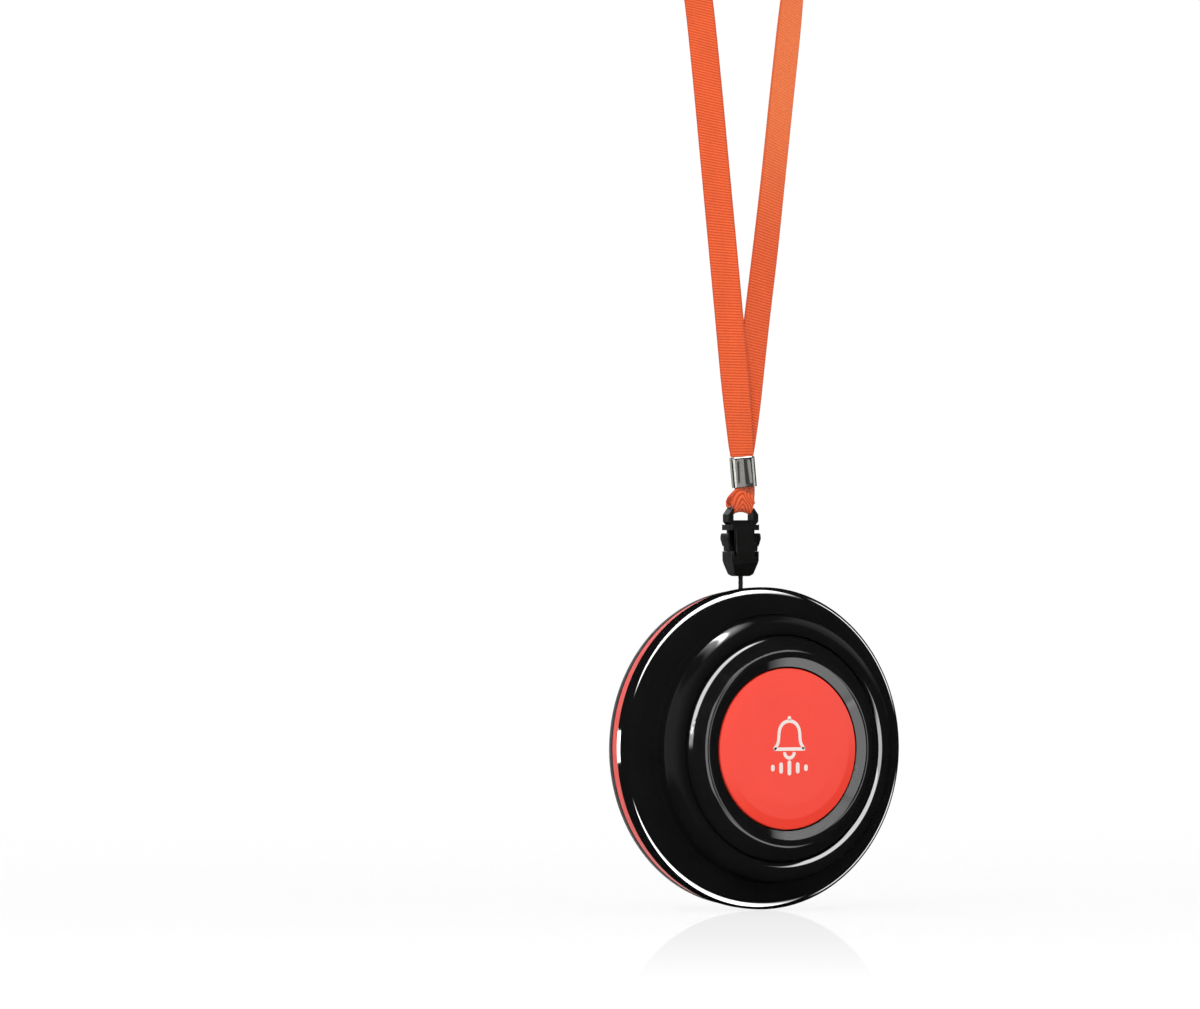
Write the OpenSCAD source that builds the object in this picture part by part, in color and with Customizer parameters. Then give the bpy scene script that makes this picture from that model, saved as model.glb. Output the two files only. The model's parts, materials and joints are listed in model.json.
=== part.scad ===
// Caregiver call button: a round pendant with a large press cap, hung from a neck lanyard by a
// thin tether and a side-release buckle. Millimetres. The origin is the point at the top of the
// neck loop where the part hangs, +Z is up and the button faces -Y.

/* [Front shell] */
// Radius of the front shell at its rim
rim_r = 32; // [31:0.5:36]
// Height of the rim, from the red ring to the corner with the brim
rim_h = 5.1; // [4.4:0.1:6.4]
// Rounding of the rim's front edge
rim_round = 2.2; // [0.8:0.1:2.6]
// Rise of the brim, from the rim to the foot of the boss
brim_rise = 1.4; // [1:0.1:2.4]
// Width of the brim, from the rim to the foot of the boss
brim_w = 5.3; // [4.8:0.1:5.8]
// Step of the boss's wall, in from its foot to its shoulder
boss_draft = 0.3; // [0.1:0.1:0.8]
// Width of the boss's top, from its shoulder to the bezel's seat
boss_land = 3.6; // [3.5:0.1:4]
// Height of the boss above its foot
boss_h = 4.9; // [4.4:0.1:6]
// Drop from the boss's top edge to its shoulder
shoulder_drop = 0.1; // [0:0.05:0.4]
// Rounding of the boss's shoulder
boss_round = 2.6; // [1.6:0.1:2.6]
// Rounding of the boss's inner lip, beside the bezel
lip_round = 0.9; // [0.3:0.1:1]
// Rounding of the corner between the brim and the boss
foot_round = 0.8; // [0.3:0.1:1.2]
// Wall of the front shell
shell_wall = 1.6; // [1.2:0.1:1.9]
// Wall of the skirt that the seal bears on
skirt_wall = 0.9; // [0.8:0.1:1.1]

/* [Bezel ring] */
// Width of the groove between the boss and the bezel ring
groove_w = 0.4; // [0.3:0.1:0.8]
// Width of the bezel ring, from the groove to the cap's bore
bezel_w = 6.2; // [5:0.1:8]
// Depth of the seat that the bezel ring stands in
seat_depth = 1.8; // [1.4:0.1:2]
// Thickness of the shelf under the seat
shelf_t = 1.3; // [1:0.1:1.6]
// Height of the bezel's crest above the boss's top edge
crest_rise = 2.45; // [1.8:0.05:3]
// Rounding of the bezel's crest
crest_round = 0.8; // [0.3:0.1:1]
// Width of the dish, from the cap's bore to the crest
dish_w = 2.7; // [2:0.1:3.2]
// Depth of the dish below the crest
dish_depth = 1.15; // [0.6:0.05:1.6]

/* [Button] */
// Running gap round the cap
cap_gap = 0.2; // [0.15:0.05:0.35]
// Depth of the cap's face below the bezel's crest
cap_sink = 0.45; // [0.2:0.05:0.8]
// Thickness of the cap's face
cap_face_t = 1.6; // [1.2:0.1:2.2]
// Wall of the cap's skirt
cap_wall = 1.2; // [0.9:0.1:1.6]
// Radius of the post under the cap's face
cap_post_r = 2.2; // [1.8:0.1:3]
// Reach of the cap's three retaining hooks past the bore
hook_reach = 0.9; // [0.6:0.1:1.1]
// Travel of the cap
cap_travel = 0.6; // [0.3:0.1:0.8]

/* [Ring, back cover and seal] */
// Thickness of the back cover
cover_t = 1.5; // [1.3:0.1:2]
// Step of the back cover's edge, in from the rim
cover_step = 0.6; // [0.3:0.1:0.9]
// Height of the red ring
ring_h = 2.8; // [2.4:0.1:4]
// Step of the red ring, in from the rim
ring_step = 0.7; // [0.5:0.1:0.9]
// Wall of the red ring
ring_wall = 1.4; // [1.2:0.1:1.5]
// Height of the back cover's lip above its inner face
lip_h = 3.3; // [2.9:0.1:3.8]
// Wall of the back cover's lip
lip_wall = 1.6; // [1.4:0.1:2]
// Thickness of the sealing O-ring
seal_d = 1; // [0.8:0.1:1.1]

/* [Screws] */
// Radius of the screw bosses in the front shell
screw_boss_r = 1.7; // [1.6:0.05:1.8]
// Radius of the housing screws
screw_r = 0.75; // [0.6:0.05:0.85]
// Radius of the housing screws' heads
screw_head_r = 1.5; // [1.2:0.1:1.6]
// Height of the housing screws' heads
screw_head_h = 0.8; // [0.6:0.1:0.9]
// Length of the housing screws under the head
screw_l = 5; // [4:0.1:5.4]
// Radius of the board's screws
board_screw_r = 0.7; // [0.5:0.05:0.9]
// Length of the board's screws under the head
board_screw_l = 3.8; // [3:0.1:4.4]

/* [Electronics] */
// Gap between the board's edge and the skirt
board_gap = 2.3; // [1.5:0.1:4]
// Distance of the board's screws from its edge
board_edge = 2.5; // [2:0.1:3]
// Thickness of the board
board_t = 1.2; // [0.8:0.1:1.6]
// Length of the standoffs between the shelf and the board
standoff_l = 3.8; // [3.6:0.1:4]
// Radius of the board's standoffs
standoff_r = 1.8; // [1.5:0.1:2]
// Side of the switch's square body
switch_w = 6; // [5:0.1:7]
// Height of the switch's body
switch_h = 3.1; // [2.6:0.1:3.4]
// Radius of the switch's plunger
plunger_r = 1.7; // [1.2:0.05:2]
// Height of the plunger above the switch's body
plunger_out = 1.5; // [1.2:0.1:1.8]
// Diameter of the coin cell
cell_d = 20; // [16:0.1:21]
// Thickness of the coin cell
cell_t = 3.2; // [2.5:0.1:3.3]
// Room between the cell and the board for the contact spring
contact_h = 0.8; // [0.6:0.1:0.9]
// Thickness of the battery clip's strip
clip_strip_t = 0.4; // [0.3:0.05:0.5]
// Width of the battery clip's strip
clip_strip_w = 5; // [3:0.1:7]

/* [Tether and its bar] */
// Diameter of the tether cord
tether_d = 0.85; // [0.7:0.05:0.9]
// Length of tether that shows between the buckle and the pendant
tether_gap = 2.15; // [1.5:0.05:6]
// Depth that the tether goes into the buckle
tether_grip = 2; // [1.5:0.1:2.2]
// Radius of the steel bar that the tether goes round
bar_r = 0.6; // [0.45:0.05:0.65]

/* [Buckle] */
// Drop from the hanging point to the bar that the strap goes round
bar_drop = 125.9;
// Radius of the buckle's strap bar
strap_bar_r = 0.5; // [0.4:0.05:0.55]
// Rise of the arched strap bar, from its ends to its middle
strap_bar_rise = 0.8; // [0.4:0.05:1]
// Width of the buckle's loop at its shoulders
loop_w = 7; // [6.8:0.1:8]
// Thickness of the buckle's loop
loop_t = 2.2; // [1.8:0.1:2.6]
// Drop from the strap bar to the bottom of the window
window_h = 2.8; // [2.4:0.1:4]
// Height of the crossbar under the window
crossbar_h = 0.9; // [0.7:0.1:1.4]
// Width of the flange
flange_w = 6.9; // [6.2:0.1:7.6]
// Height of the flange
flange_h = 1.1; // [0.8:0.1:1.6]
// Thickness of the buckle's flange, sheath and band
sheath_t = 3.8; // [3.6:0.1:4.4]
// Width of the sheath's two panels
panel_w = 4.4; // [3.8:0.1:4.6]
// Wall of the sheath's panels
panel_wall = 0.9; // [0.7:0.05:1]
// Height of the side windows that the arms show through
side_window_h = 4.2; // [4:0.1:5]
// Height of the band round the sheath's mouth
band_h = 1.5; // [1.2:0.1:1.8]
// Width of the band
band_w = 7; // [6.8:0.1:7.6]
// Wall at the band's sides, which the arms latch on
band_wall = 0.6; // [0.5:0.05:0.7]
// Height of the clip's base below the band
base_h = 3.35; // [3.1:0.05:4]
// Width of the clip's base at its top
base_w = 6.4; // [6.2:0.1:7]
// Width of the clip's base at its bottom
base_foot_w = 4.4; // [3.8:0.1:4.8]
// Width of the arms' finger pads, outside to outside
pads_w = 8; // [7.8:0.1:8.6]
// Thickness of the finger pads
pad_t = 2.6; // [2:0.1:3.2]
// Width of each arm
arm_w = 0.9; // [0.8:0.05:0.95]
// Turn of an arm when it is squeezed to release, in degrees
arm_turn = 10; // [6:0.5:10]

/* [Crimp] */
// Drop from the hanging point to the middle of the crimp
crimp_drop = 119.1;
// Width of the crimp
crimp_w = 4.9; // [4.8:0.1:5.4]
// Height of the crimp
crimp_h = 6.1; // [5:0.1:8]
// Wall of the crimp's steel
crimp_wall = 0.35; // [0.25:0.05:0.4]
// Lean of the crimp, in degrees
crimp_lean = 5;

/* [Strap] */
// Width of the woven strap
strap_w = 5.6; // [4.8:0.1:6.4]
// Width of the strap where the crimp and the buckle gather it
strap_gathered_w = 3.9; // [3.6:0.1:4]
// Thickness of the strap
strap_t = 0.7; // [0.5:0.05:0.75]

/* [Hidden] */
$fn = 96;
arc_steps = 8;
// Overlap that fuses two shapes of one moulding
fuse = 0.3;
// Clearance of parts that are pressed or screwed together, on each side
fit = 0.1;
// Clearance of a pin in its bore, on the radius
pin_fit = 0.05;

// Depths in the pendant, from its back plane
ring_z = cover_t + ring_h;
rim_z = ring_z + rim_h;
foot_z = rim_z + brim_rise;
boss_z = foot_z + boss_h;
shoulder_z = boss_z - shoulder_drop;
seat_z = boss_z - seat_depth;
shelf_z = seat_z - shelf_t;
crest_z = boss_z + crest_rise;
dish_z = crest_z - dish_depth;
face_z = crest_z - cap_sink;
board_front = shelf_z - standoff_l;
board_back = board_front - board_t;
cell_front = board_back - contact_h;
cell_back = cell_front - cell_t;
switch_top = board_front + switch_h;
plunger_top = switch_top + plunger_out;
skirt_z = cover_t + fit;
spigot_drop = 1;
rim_chamfer = 0.4;
edge_round = 0.25;

// Radii in the pendant, from the rim inwards
boss_foot_r = rim_r - brim_w;
boss_shoulder_r = boss_foot_r - boss_draft;
boss_top_r = boss_shoulder_r - boss_land;
cover_r = rim_r - cover_step;
cover_round = 0.8;
ring_r = rim_r - ring_step;
ring_in_r = ring_r - ring_wall;
spigot_r = ring_in_r - fit;
spigot_wall = 0.8;
screw_circle_r = spigot_r - spigot_wall + fuse - screw_boss_r;
skirt_r = screw_circle_r - screw_boss_r + fuse;
skirt_in_r = skirt_r - skirt_wall;
lip_r = skirt_in_r - 1.5 * fit;
seal_fit = 0.03;
seal_r = skirt_in_r - seal_fit - seal_d / 2;
seal_z = cover_t + lip_h / 2;
board_r = skirt_in_r - board_gap;

// Bezel and cap
bezel_r = boss_top_r - groove_w;
bore_r = bezel_r - bezel_w;
cap_r = bore_r - cap_gap;
bezel_base_r = boss_top_r - 1.5 * fit;
bezel_base_h = 0.7;
hook_r = bore_r + hook_reach;
hook_room_r = hook_r + 0.5;
hook_h = 0.5;
hook_gap = 0.2;
hook_angle = 24;
hook_angles = [30, 150, 270];
bezel_flange_z = seat_z + 0.5;
cap_foot_z = bezel_flange_z - hook_gap - hook_h;
cap_round = 0.5;
shelf_in_r = hook_room_r + 0.8;

// Screws and standoffs
screw_angles = [30, 150, 270];
board_angles = [90, 210, 330];
screw_fit = 0.05;
screw_sink = screw_head_h + fit;
screw_room = 0.15;
cross_w = 0.35;
cross_l = 1.5;
cross_depth = 0.4;
standoff_circle_r = board_r - board_edge;
board_head_r = 1.4;
board_head_h = 1;

// Electronics
plunger_fit = 0.1;
plunger_seat = 1;
switch_leg = [0.7, 1, 0.5];
led_size = [2, 1.2, 0.9];
led_place = [7.5, -3];
chip_size = [5, 4, 1.5];
chip_place = [-9, 8];
resistor_size = [1, 1.6, 0.5];
resistor_place = [-4.2, 9];
resistor_step = 2;
resistor_count = 4;
crystal_size = [10, 4.2, 3];
crystal_place = [1, -11];
antenna_r = board_r - 2.4;
antenna_wire_r = 0.4;
antenna_post_r = 0.5;
antenna_h = 1.6;
antenna_angles = [110, 190];
cell_gap = 0.3;
cell_bevel = 0.8;
clip_foot = 1.2;
contact_r = 5;
contact_tip_r = 1.8;
contact_t = 0.25;

// Tether: the strand hangs on the part's own vertical axis
eye_r = bar_r + fit + tether_d / 2;
eye_out_r = eye_r + tether_d / 2;
bar_y = skirt_r + 0.35 + eye_out_r;
bar_depth = eye_out_r + 0.05;
notch_w = 3.8;
lug_w = 1.4;
lug_h = 3;
lug_top = bar_depth + bar_r + 0.8;
bar_l = notch_w + 2 * lug_w - 0.4;
eye_pitch = 1;
eye_turn = 330;
eye_steps = 24;
tether_sides = 8;

// Heights in the buckle, from the strap bar's axis
flange_z = -window_h - crossbar_h;
window_top_z = flange_z - flange_h;
band_top_z = window_top_z - side_window_h;
band_z = band_top_z - band_h;
base_z = band_z - fit;
base_foot_z = base_z - base_h;
cavity_t = sheath_t - 2 * panel_wall;
mouth_w = band_w - 2 * band_wall;
window_w = strap_gathered_w + 0.8;
strap_bar_z = 0.2;
bar_arch_r = (pow(window_w / 2, 2) + pow(strap_bar_rise, 2)) / (2 * strap_bar_rise);
bar_root = 0.15;
post_top_z = strap_bar_z - strap_bar_rise + 0.2;
loop_shoulder_z = post_top_z - 1.3;
band_flare = 0.12;
band_crown = 0.6;
slot_w = 0.45;
slot_h = 1;
arm_t = cavity_t - 2 * fit;
arm_root_r = 0.45;
arm_pivot = [1.35, base_foot_z + 1.55];
arm_top_z = window_top_z - 0.6;
pad_z = arm_top_z - 1.1;
latch_gap = 0.1;
latch_w = 0.55;
arm_mouth_x = mouth_w / 2 - 1.5 * fit;
pad_in_x = pads_w / 2 - arm_w;
pad_step = 0.35;
tongue_w = 1.4;
tongue_t = cavity_t - 4 * fit;
tongue_gap = 0.8;
base_t = 3.6;
base_foot_t = 2.3;

// Places of the sub-assemblies
pendant_x = eye_pitch * eye_turn / 720;
pendant_z = -bar_drop + base_foot_z - tether_gap - rim_r;
back_y = bar_depth - eye_r;
crimp_turn = -15;
crimp_place = [0.42, -0.27];
crimp_t = 2 * strap_t + 0.6 + 2 * crimp_wall;
crimp_round = 0.9;
dent_r = 2.4;
dent_depth = 0.2;
dent_x = [-0.75, 0.7];

// Route of the strap, in a frame that is turned about Z: across, back, height, heading of the
// strap's width in degrees, how far the strap is spread from its gathered to its full width, and
// how far its section takes the arch of the buckle's bar. It starts in the crimp, goes up one run,
// over the top, down the other run, through the crimp and round the bar, and ends in the crimp.
strap_turn = -32;
strap_route = [
    [0.4, 0.4, -118.9, 17, 0, 0],
    [0.1, 0.36, -115.9, 17, 0, 0],
    [0.3, 0.45, -114.8, 17, 0.5, 0],
    [0.65, 0.6, -112, 18, 0.75, 0],
    [1.4, 0.9, -105, 21, 1, 0],
    [3.1, 1, -90, 26, 1, 0],
    [4.9, 1, -75, 28, 1, 0],
    [6.55, 1, -60, 32, 1, 0],
    [8.1, 1, -45, 32, 1, 0],
    [9.7, 1, -30, 34, 1, 0],
    [10.6, 0.7, -21, 46, 1, 0],
    [11, 0.3, -15, 70, 1, 0],
    [10.6, 0, -10.2, 86, 1, 0],
    [9.2, 0, -5, 90, 1, 0],
    [5.3, 0, -1.1, 90, 1, 0],
    [0, 0, 0.35, 90, 1, 0],
    [-5.3, 0, -1.1, 90, 1, 0],
    [-9.2, 0, -5, 90, 1, 0],
    [-10.6, 0, -10.2, 96, 1, 0],
    [-10.2, -0.2, -15, 124, 1, 0],
    [-9.2, -0.4, -20.5, 162, 1, 0],
    [-8.15, -0.5, -27, 178, 1, 0],
    [-6.6, -0.5, -42, 180, 1, 0],
    [-5.2, -0.5, -57, 180, 1, 0],
    [-3.8, -0.5, -72, 180, 1, 0],
    [-2.4, -0.5, -87, 180, 1, 0],
    [-1.1, -0.5, -101, 184, 1, 0],
    [-0.1, -0.5, -112, 192, 0.75, 0],
    [0.2, -0.45, -114.8, 195, 0.5, 0],
    [0.35, -0.4, -115.9, 197, 0, 0],
    [0.6, -0.4, -119.1, 197, 0, 0],
    [0.88, -0.42, -122.1, 198, 0, 0],
    [0.92, -0.5, -123.05, 199, 0, 0],
    [0.6, -0.88, -123.9, 205, 0.6, 0.3],
    [0.5, -1.1, -124.7, 209, 0.75, 0.7],
    [0.55, -0.92, -125.6, 212, 0.3, 1],
    [0.42, -0.7, -126.3, 212, 0.15, 1],
    [0, 0, -126.75, 212, 0.15, 1],
    [-0.42, 0.7, -126.3, 212, 0.15, 1],
    [-0.6, 0.94, -125.6, 212, 0.3, 1],
    [-0.75, 1.05, -124.7, 209, 0.6, 0.7],
    [-0.1, 0.85, -123.9, 205, 0.4, 0.3],
    [0.68, 0.5, -123.05, 199, 0, 0],
    [0.7, 0.44, -122.1, 198, 0, 0],
    [0.4, 0.4, -119.3, 197, 0, 0]
];
strap_steps = 2;
strap_edge = 0.25;

function unit(v) = v / norm(v);
function xy(p) = [p[0], p[1]];

// Points of the arc that rounds corner b, with radius b[2], between its neighbours a and c
function corner(a, b, c) =
    b[2] == undef || b[2] == 0 ? [xy(b)] :
    let(
        to_a = unit(xy(a) - xy(b)),
        to_c = unit(xy(c) - xy(b)),
        half = acos(to_a * to_c) / 2,
        centre = xy(b) + unit(to_a + to_c) * b[2] / sin(half),
        first = xy(b) + to_a * b[2] / tan(half) - centre,
        last = xy(b) + to_c * b[2] / tan(half) - centre,
        start = atan2(first[1], first[0]),
        turn = atan2(last[1], last[0]) - start,
        sweep = turn > 180 ? turn - 360 : turn < -180 ? turn + 360 : turn
    )
    [for (i = [0:arc_steps])
        let(angle = start + sweep * i / arc_steps)
        centre + b[2] * [cos(angle), sin(angle)]];

// Outline with its corners rounded, from points [x, y, radius]
function rounded(path) =
    let(n = len(path))
    [for (i = [0:n - 1]) each corner(path[(i + n - 1) % n], path[i], path[(i + 1) % n])];

// Rectangle about the origin
function rectangle(w, h, r) =
    [[-w / 2, -h / 2, r], [w / 2, -h / 2, r], [w / 2, h / 2, r], [-w / 2, h / 2, r]];

// Depth of the brim's outside and inside at a radius
function brim_z(r) = rim_z + (rim_r - r) * brim_rise / (rim_r - boss_foot_r);
function roof_z(r) = brim_z(r) - shell_wall;

// Radius of the boss's inside at a depth
function boss_in_r(z) =
    boss_foot_r - shell_wall
    + (boss_shoulder_r - boss_foot_r) * (z - foot_z) / (shoulder_z - foot_z);

// Smooth curve through a list of rows, with extra rows between them
function between(a, b, c, d, t) =
    0.5 * (2 * b + (c - a) * t + (2 * a - 5 * b + 4 * c - d) * t * t + (3 * b - a - 3 * c + d) * t * t * t);
function smooth(rows, steps) =
    let(last = len(rows) - 1)
    concat(
        [for (i = [0:last - 1], k = [0:steps - 1])
            between(rows[max(i - 1, 0)], rows[i], rows[i + 1], rows[min(i + 2, last)], k / steps)],
        [rows[last]]
    );

// Direction of a route at one of its points
function along(points, i) = unit(points[min(i + 1, len(points) - 1)] - points[max(i - 1, 0)]);

// Closed tube from rings of points that all have the same number of sides
module skin(rings) {
    sides = len(rings[0]);
    last = len(rings) - 1;
    polyhedron(
        points = [for (ring = rings) each ring],
        faces = concat(
            [[for (s = [sides - 1:-1:0]) s]],
            [for (i = [0:last - 1], s = [0:sides - 1])
                let(a = i * sides + s, b = i * sides + (s + 1) % sides)
                each [[a, b, b + sides], [a, b + sides, a + sides]]],
            [[for (s = [0:sides - 1]) last * sides + s]]
        )
    );
}

// Drop of the strap bar's arch, from its middle, at a distance across
function bar_drop_at(x) = bar_arch_r - sqrt(bar_arch_r * bar_arch_r - x * x);

// Section of the strap: flat, with thinner edges, or dropped at its sides by a share of the arch
function strap_section(w) =
    let(x = w / 2, y = strap_t / 2, face = [x - strap_edge, x / 2, 0, -x / 2, strap_edge - x])
    concat(
        [[x, -y / 2], [x, y / 2]],
        [for (p = face) [p, y]],
        [[-x, y / 2], [-x, -y / 2]],
        [for (p = face) [-p, -y]]
    );

// Inside the pendant, x is across, y is up and z runs from the back plane to the front
module in_pendant() { translate([pendant_x, back_y, pendant_z]) rotate([90, 0, 0]) children(); }
module in_buckle() { translate([0, 0, -bar_drop]) children(); }
module on_circle(r, angles) { for (a = angles) rotate([0, 0, a]) translate([r, 0, 0]) children(); }
module revolved(path) { rotate_extrude() polygon(rounded(path)); }
module raised(z, h) { translate([0, 0, z]) linear_extrude(height = h) children(); }

// Front outline in the x and z of the buckle, extruded to a thickness that is centred on y
module upright(t) { rotate([90, 0, 0]) linear_extrude(height = t, center = true) children(); }

// Moulded front housing: rounded rim, shallow brim, steep boss with the bezel's seat, and inside it
// the seal's skirt, the screw bosses and the board's standoffs
module front_shell() {
    color("#141414") in_pendant() difference() {
        union() {
            revolved([
                [rim_r - rim_chamfer, ring_z],
                [rim_r, ring_z + rim_chamfer],
                [rim_r, rim_z, rim_round],
                [boss_foot_r, foot_z, foot_round],
                [boss_shoulder_r, shoulder_z, boss_round],
                [boss_top_r, boss_z, lip_round],
                [boss_top_r, seat_z],
                [shelf_in_r, seat_z],
                [shelf_in_r, shelf_z],
                [boss_in_r(shelf_z), shelf_z],
                [skirt_in_r, foot_z - shell_wall],
                [skirt_in_r, skirt_z],
                [skirt_r, skirt_z],
                [skirt_r, roof_z(skirt_r)],
                [spigot_r - spigot_wall, roof_z(spigot_r - spigot_wall)],
                [spigot_r - spigot_wall, ring_z - spigot_drop],
                [spigot_r, ring_z - spigot_drop],
                [spigot_r, ring_z]
            ]);
            on_circle(screw_circle_r, screw_angles)
                translate([0, 0, skirt_z])
                    cylinder(r = screw_boss_r, h = roof_z(screw_circle_r) + fuse - skirt_z);
            on_circle(standoff_circle_r, board_angles)
                translate([0, 0, board_front]) cylinder(r = standoff_r, h = standoff_l + fuse);
        }
        on_circle(screw_circle_r, screw_angles)
            translate([0, 0, -fuse]) cylinder(r = screw_r + screw_fit, h = screw_sink + screw_l + 2 * fuse);
        on_circle(standoff_circle_r, board_angles)
            translate([0, 0, board_back])
                cylinder(r = board_screw_r + screw_fit, h = board_screw_l + fuse);
    }
}

// Ring in the boss's seat: crest, dish that slopes to the cap, and the cap's bore
module bezel_ring() {
    color("#181818") in_pendant() revolved([
        [bore_r, bezel_flange_z],
        [bore_r, dish_z, edge_round],
        [bore_r + dish_w, crest_z, crest_round],
        [bezel_r, boss_z, edge_round],
        [bezel_r, seat_z + bezel_base_h],
        [bezel_base_r, seat_z + bezel_base_h],
        [bezel_base_r, seat_z],
        [hook_room_r, seat_z],
        [hook_room_r, bezel_flange_z]
    ]);
}

// Press cap: face, skirt, three retaining hooks and the post that bears on the switch
module button_cap() {
    inside_z = face_z - cap_face_t;
    color("#ff5645") in_pendant() {
        revolved([
            [0, plunger_top],
            [cap_post_r, plunger_top],
            [cap_post_r, inside_z, edge_round],
            [cap_r - cap_wall, inside_z, edge_round],
            [cap_r - cap_wall, cap_foot_z],
            [cap_r, cap_foot_z],
            [cap_r, face_z, cap_round],
            [0, face_z]
        ]);
        for (a = hook_angles) rotate([0, 0, a - hook_angle / 2]) rotate_extrude(angle = hook_angle) polygon([
            [cap_r - fuse, cap_foot_z],
            [hook_r - hook_h / 2, cap_foot_z],
            [hook_r, cap_foot_z + hook_h / 2],
            [hook_r, cap_foot_z + hook_h],
            [cap_r - fuse, cap_foot_z + hook_h]
        ]);
    }
}

// Red band clamped between the back cover and the front shell
module mid_ring() {
    color("#e8483c") in_pendant() revolved([
        [ring_in_r, cover_t],
        [ring_r, cover_t, edge_round],
        [ring_r, ring_z, edge_round],
        [ring_in_r, ring_z]
    ]);
}

// Back cover: plate, lip with the seal's groove, screw recesses, and the tether's notch with its lugs
module back_cover() {
    groove_r = seal_r - seal_d / 2 - seal_fit;
    groove_h = seal_d / 2 + fit;
    lip_z = cover_t + lip_h;
    color("#1c1c1c") in_pendant() difference() {
        union() {
            revolved([
                [0, 0],
                [cover_r, 0, cover_round],
                [cover_r, cover_t, edge_round],
                [lip_r, cover_t],
                [lip_r, seal_z - groove_h],
                [groove_r, seal_z - groove_h],
                [groove_r, seal_z + groove_h],
                [lip_r, seal_z + groove_h],
                [lip_r, lip_z],
                [lip_r - lip_wall, lip_z],
                [lip_r - lip_wall, cover_t],
                [0, cover_t]
            ]);
            for (side = [-1, 1])
                translate([side * (notch_w + lug_w) / 2, bar_y, 0])
                    raised(cover_t - fuse, lug_top - cover_t + fuse)
                        polygon(rounded(rectangle(lug_w, lug_h, edge_round)));
        }
        translate([0, bar_y - eye_out_r - fit, 0]) raised(-fuse, cover_t + 2 * fuse)
            polygon(rounded([
                [-notch_w / 2, 0, 0.5], [notch_w / 2, 0, 0.5], [notch_w / 2, rim_r], [-notch_w / 2, rim_r]
            ]));
        translate([-bar_l / 2 - pin_fit, bar_y, bar_depth]) rotate([0, 90, 0])
            cylinder(r = bar_r + pin_fit, h = bar_l + 2 * pin_fit);
        on_circle(screw_circle_r, screw_angles) {
            translate([0, 0, -fuse]) cylinder(r = screw_r + screw_room, h = cover_t + 2 * fuse);
            translate([0, 0, -fuse]) cylinder(r = screw_head_r + screw_room, h = screw_sink + fuse);
        }
    }
}

// Steel bar across the notch
module lanyard_bar() {
    color("#b8b8b8") in_pendant()
        translate([-bar_l / 2, bar_y, bar_depth]) rotate([0, 90, 0]) cylinder(r = bar_r, h = bar_l);
}

// O-ring between the back cover's lip and the front shell's skirt
module seal_ring() {
    color("#303030") in_pendant()
        rotate_extrude() translate([seal_r, seal_z]) circle(r = seal_d / 2);
}

// One pan-head screw along z with its head at the bottom and a cross recess
module screw(r, l, head_r, head_h) {
    difference() {
        union() {
            cylinder(r = head_r, h = head_h);
            cylinder(r = r, h = head_h + l);
        }
        for (size = [[cross_l, cross_w], [cross_w, cross_l]])
            translate([-size[0] / 2, -size[1] / 2, -fuse]) cube([size[0], size[1], cross_depth + fuse]);
    }
}

// Screws from the back cover into the front shell
module housing_screws() {
    color("#9a9a9a") in_pendant() on_circle(screw_circle_r, screw_angles)
        translate([0, 0, screw_sink - screw_head_h]) screw(screw_r, screw_l, screw_head_r, screw_head_h);
}

// Round board on the front shell's standoffs
module circuit_board() {
    color("#1f6b3a") in_pendant() difference() {
        translate([0, 0, board_back]) cylinder(r = board_r, h = board_t);
        on_circle(standoff_circle_r, board_angles)
            translate([0, 0, board_back - fuse])
                cylinder(r = board_screw_r + screw_room, h = board_t + 2 * fuse);
    }
}

// Screws that hold the board to the standoffs
module board_screws() {
    color("#9a9a9a") in_pendant() on_circle(standoff_circle_r, board_angles)
        translate([0, 0, board_back - board_head_h])
            screw(board_screw_r, board_screw_l, board_head_r, board_head_h);
}

// Tactile switch: square body with the plunger's bore and four legs
module switch_body() {
    color("#2b2b2b") in_pendant() {
        difference() {
            raised(board_front, switch_h) polygon(rounded(rectangle(switch_w, switch_w, edge_round)));
            translate([0, 0, switch_top - plunger_seat - cap_travel - 2 * fit])
                cylinder(r = plunger_r + plunger_fit, h = plunger_seat + cap_travel + 1);
        }
        for (sx = [-1, 1], sy = [-1, 1])
            translate([
                sx * (switch_w / 2 + switch_leg[1] / 2 - fuse / 2) - switch_leg[1] / 2,
                sy * switch_w / 3 - switch_leg[0] / 2,
                board_front
            ])
                cube([switch_leg[1], switch_leg[0], switch_leg[2]]);
    }
}

// The switch's plunger, under the cap's post
module switch_plunger() {
    color("#d8d2c4") in_pendant() translate([0, 0, switch_top - plunger_seat])
        cylinder(r = plunger_r, h = plunger_seat + plunger_out);
}

// Small box-shaped part on the front of the board
module chip(size, place) {
    translate([place[0] - size[0] / 2, place[1] - size[1] / 2, board_front]) cube(size);
}

module status_led() { color("#f2ead0") in_pendant() chip(led_size, led_place); }
module radio_chip() { color("#262626") in_pendant() chip(chip_size, chip_place); }

// Row of chip resistors beside the transmitter
module chip_resistors() {
    color("#3a3a42") in_pendant() for (i = [0:resistor_count - 1])
        chip(resistor_size, [resistor_place[0] + i * resistor_step, resistor_place[1]]);
}

// Metal-can crystal with rounded ends
module crystal() {
    color("#c4c4c4") in_pendant() translate([crystal_place[0], crystal_place[1], 0])
        raised(board_front, crystal_size[2])
            polygon(rounded(rectangle(crystal_size[0], crystal_size[1], crystal_size[1] * 0.49)));
}

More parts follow.
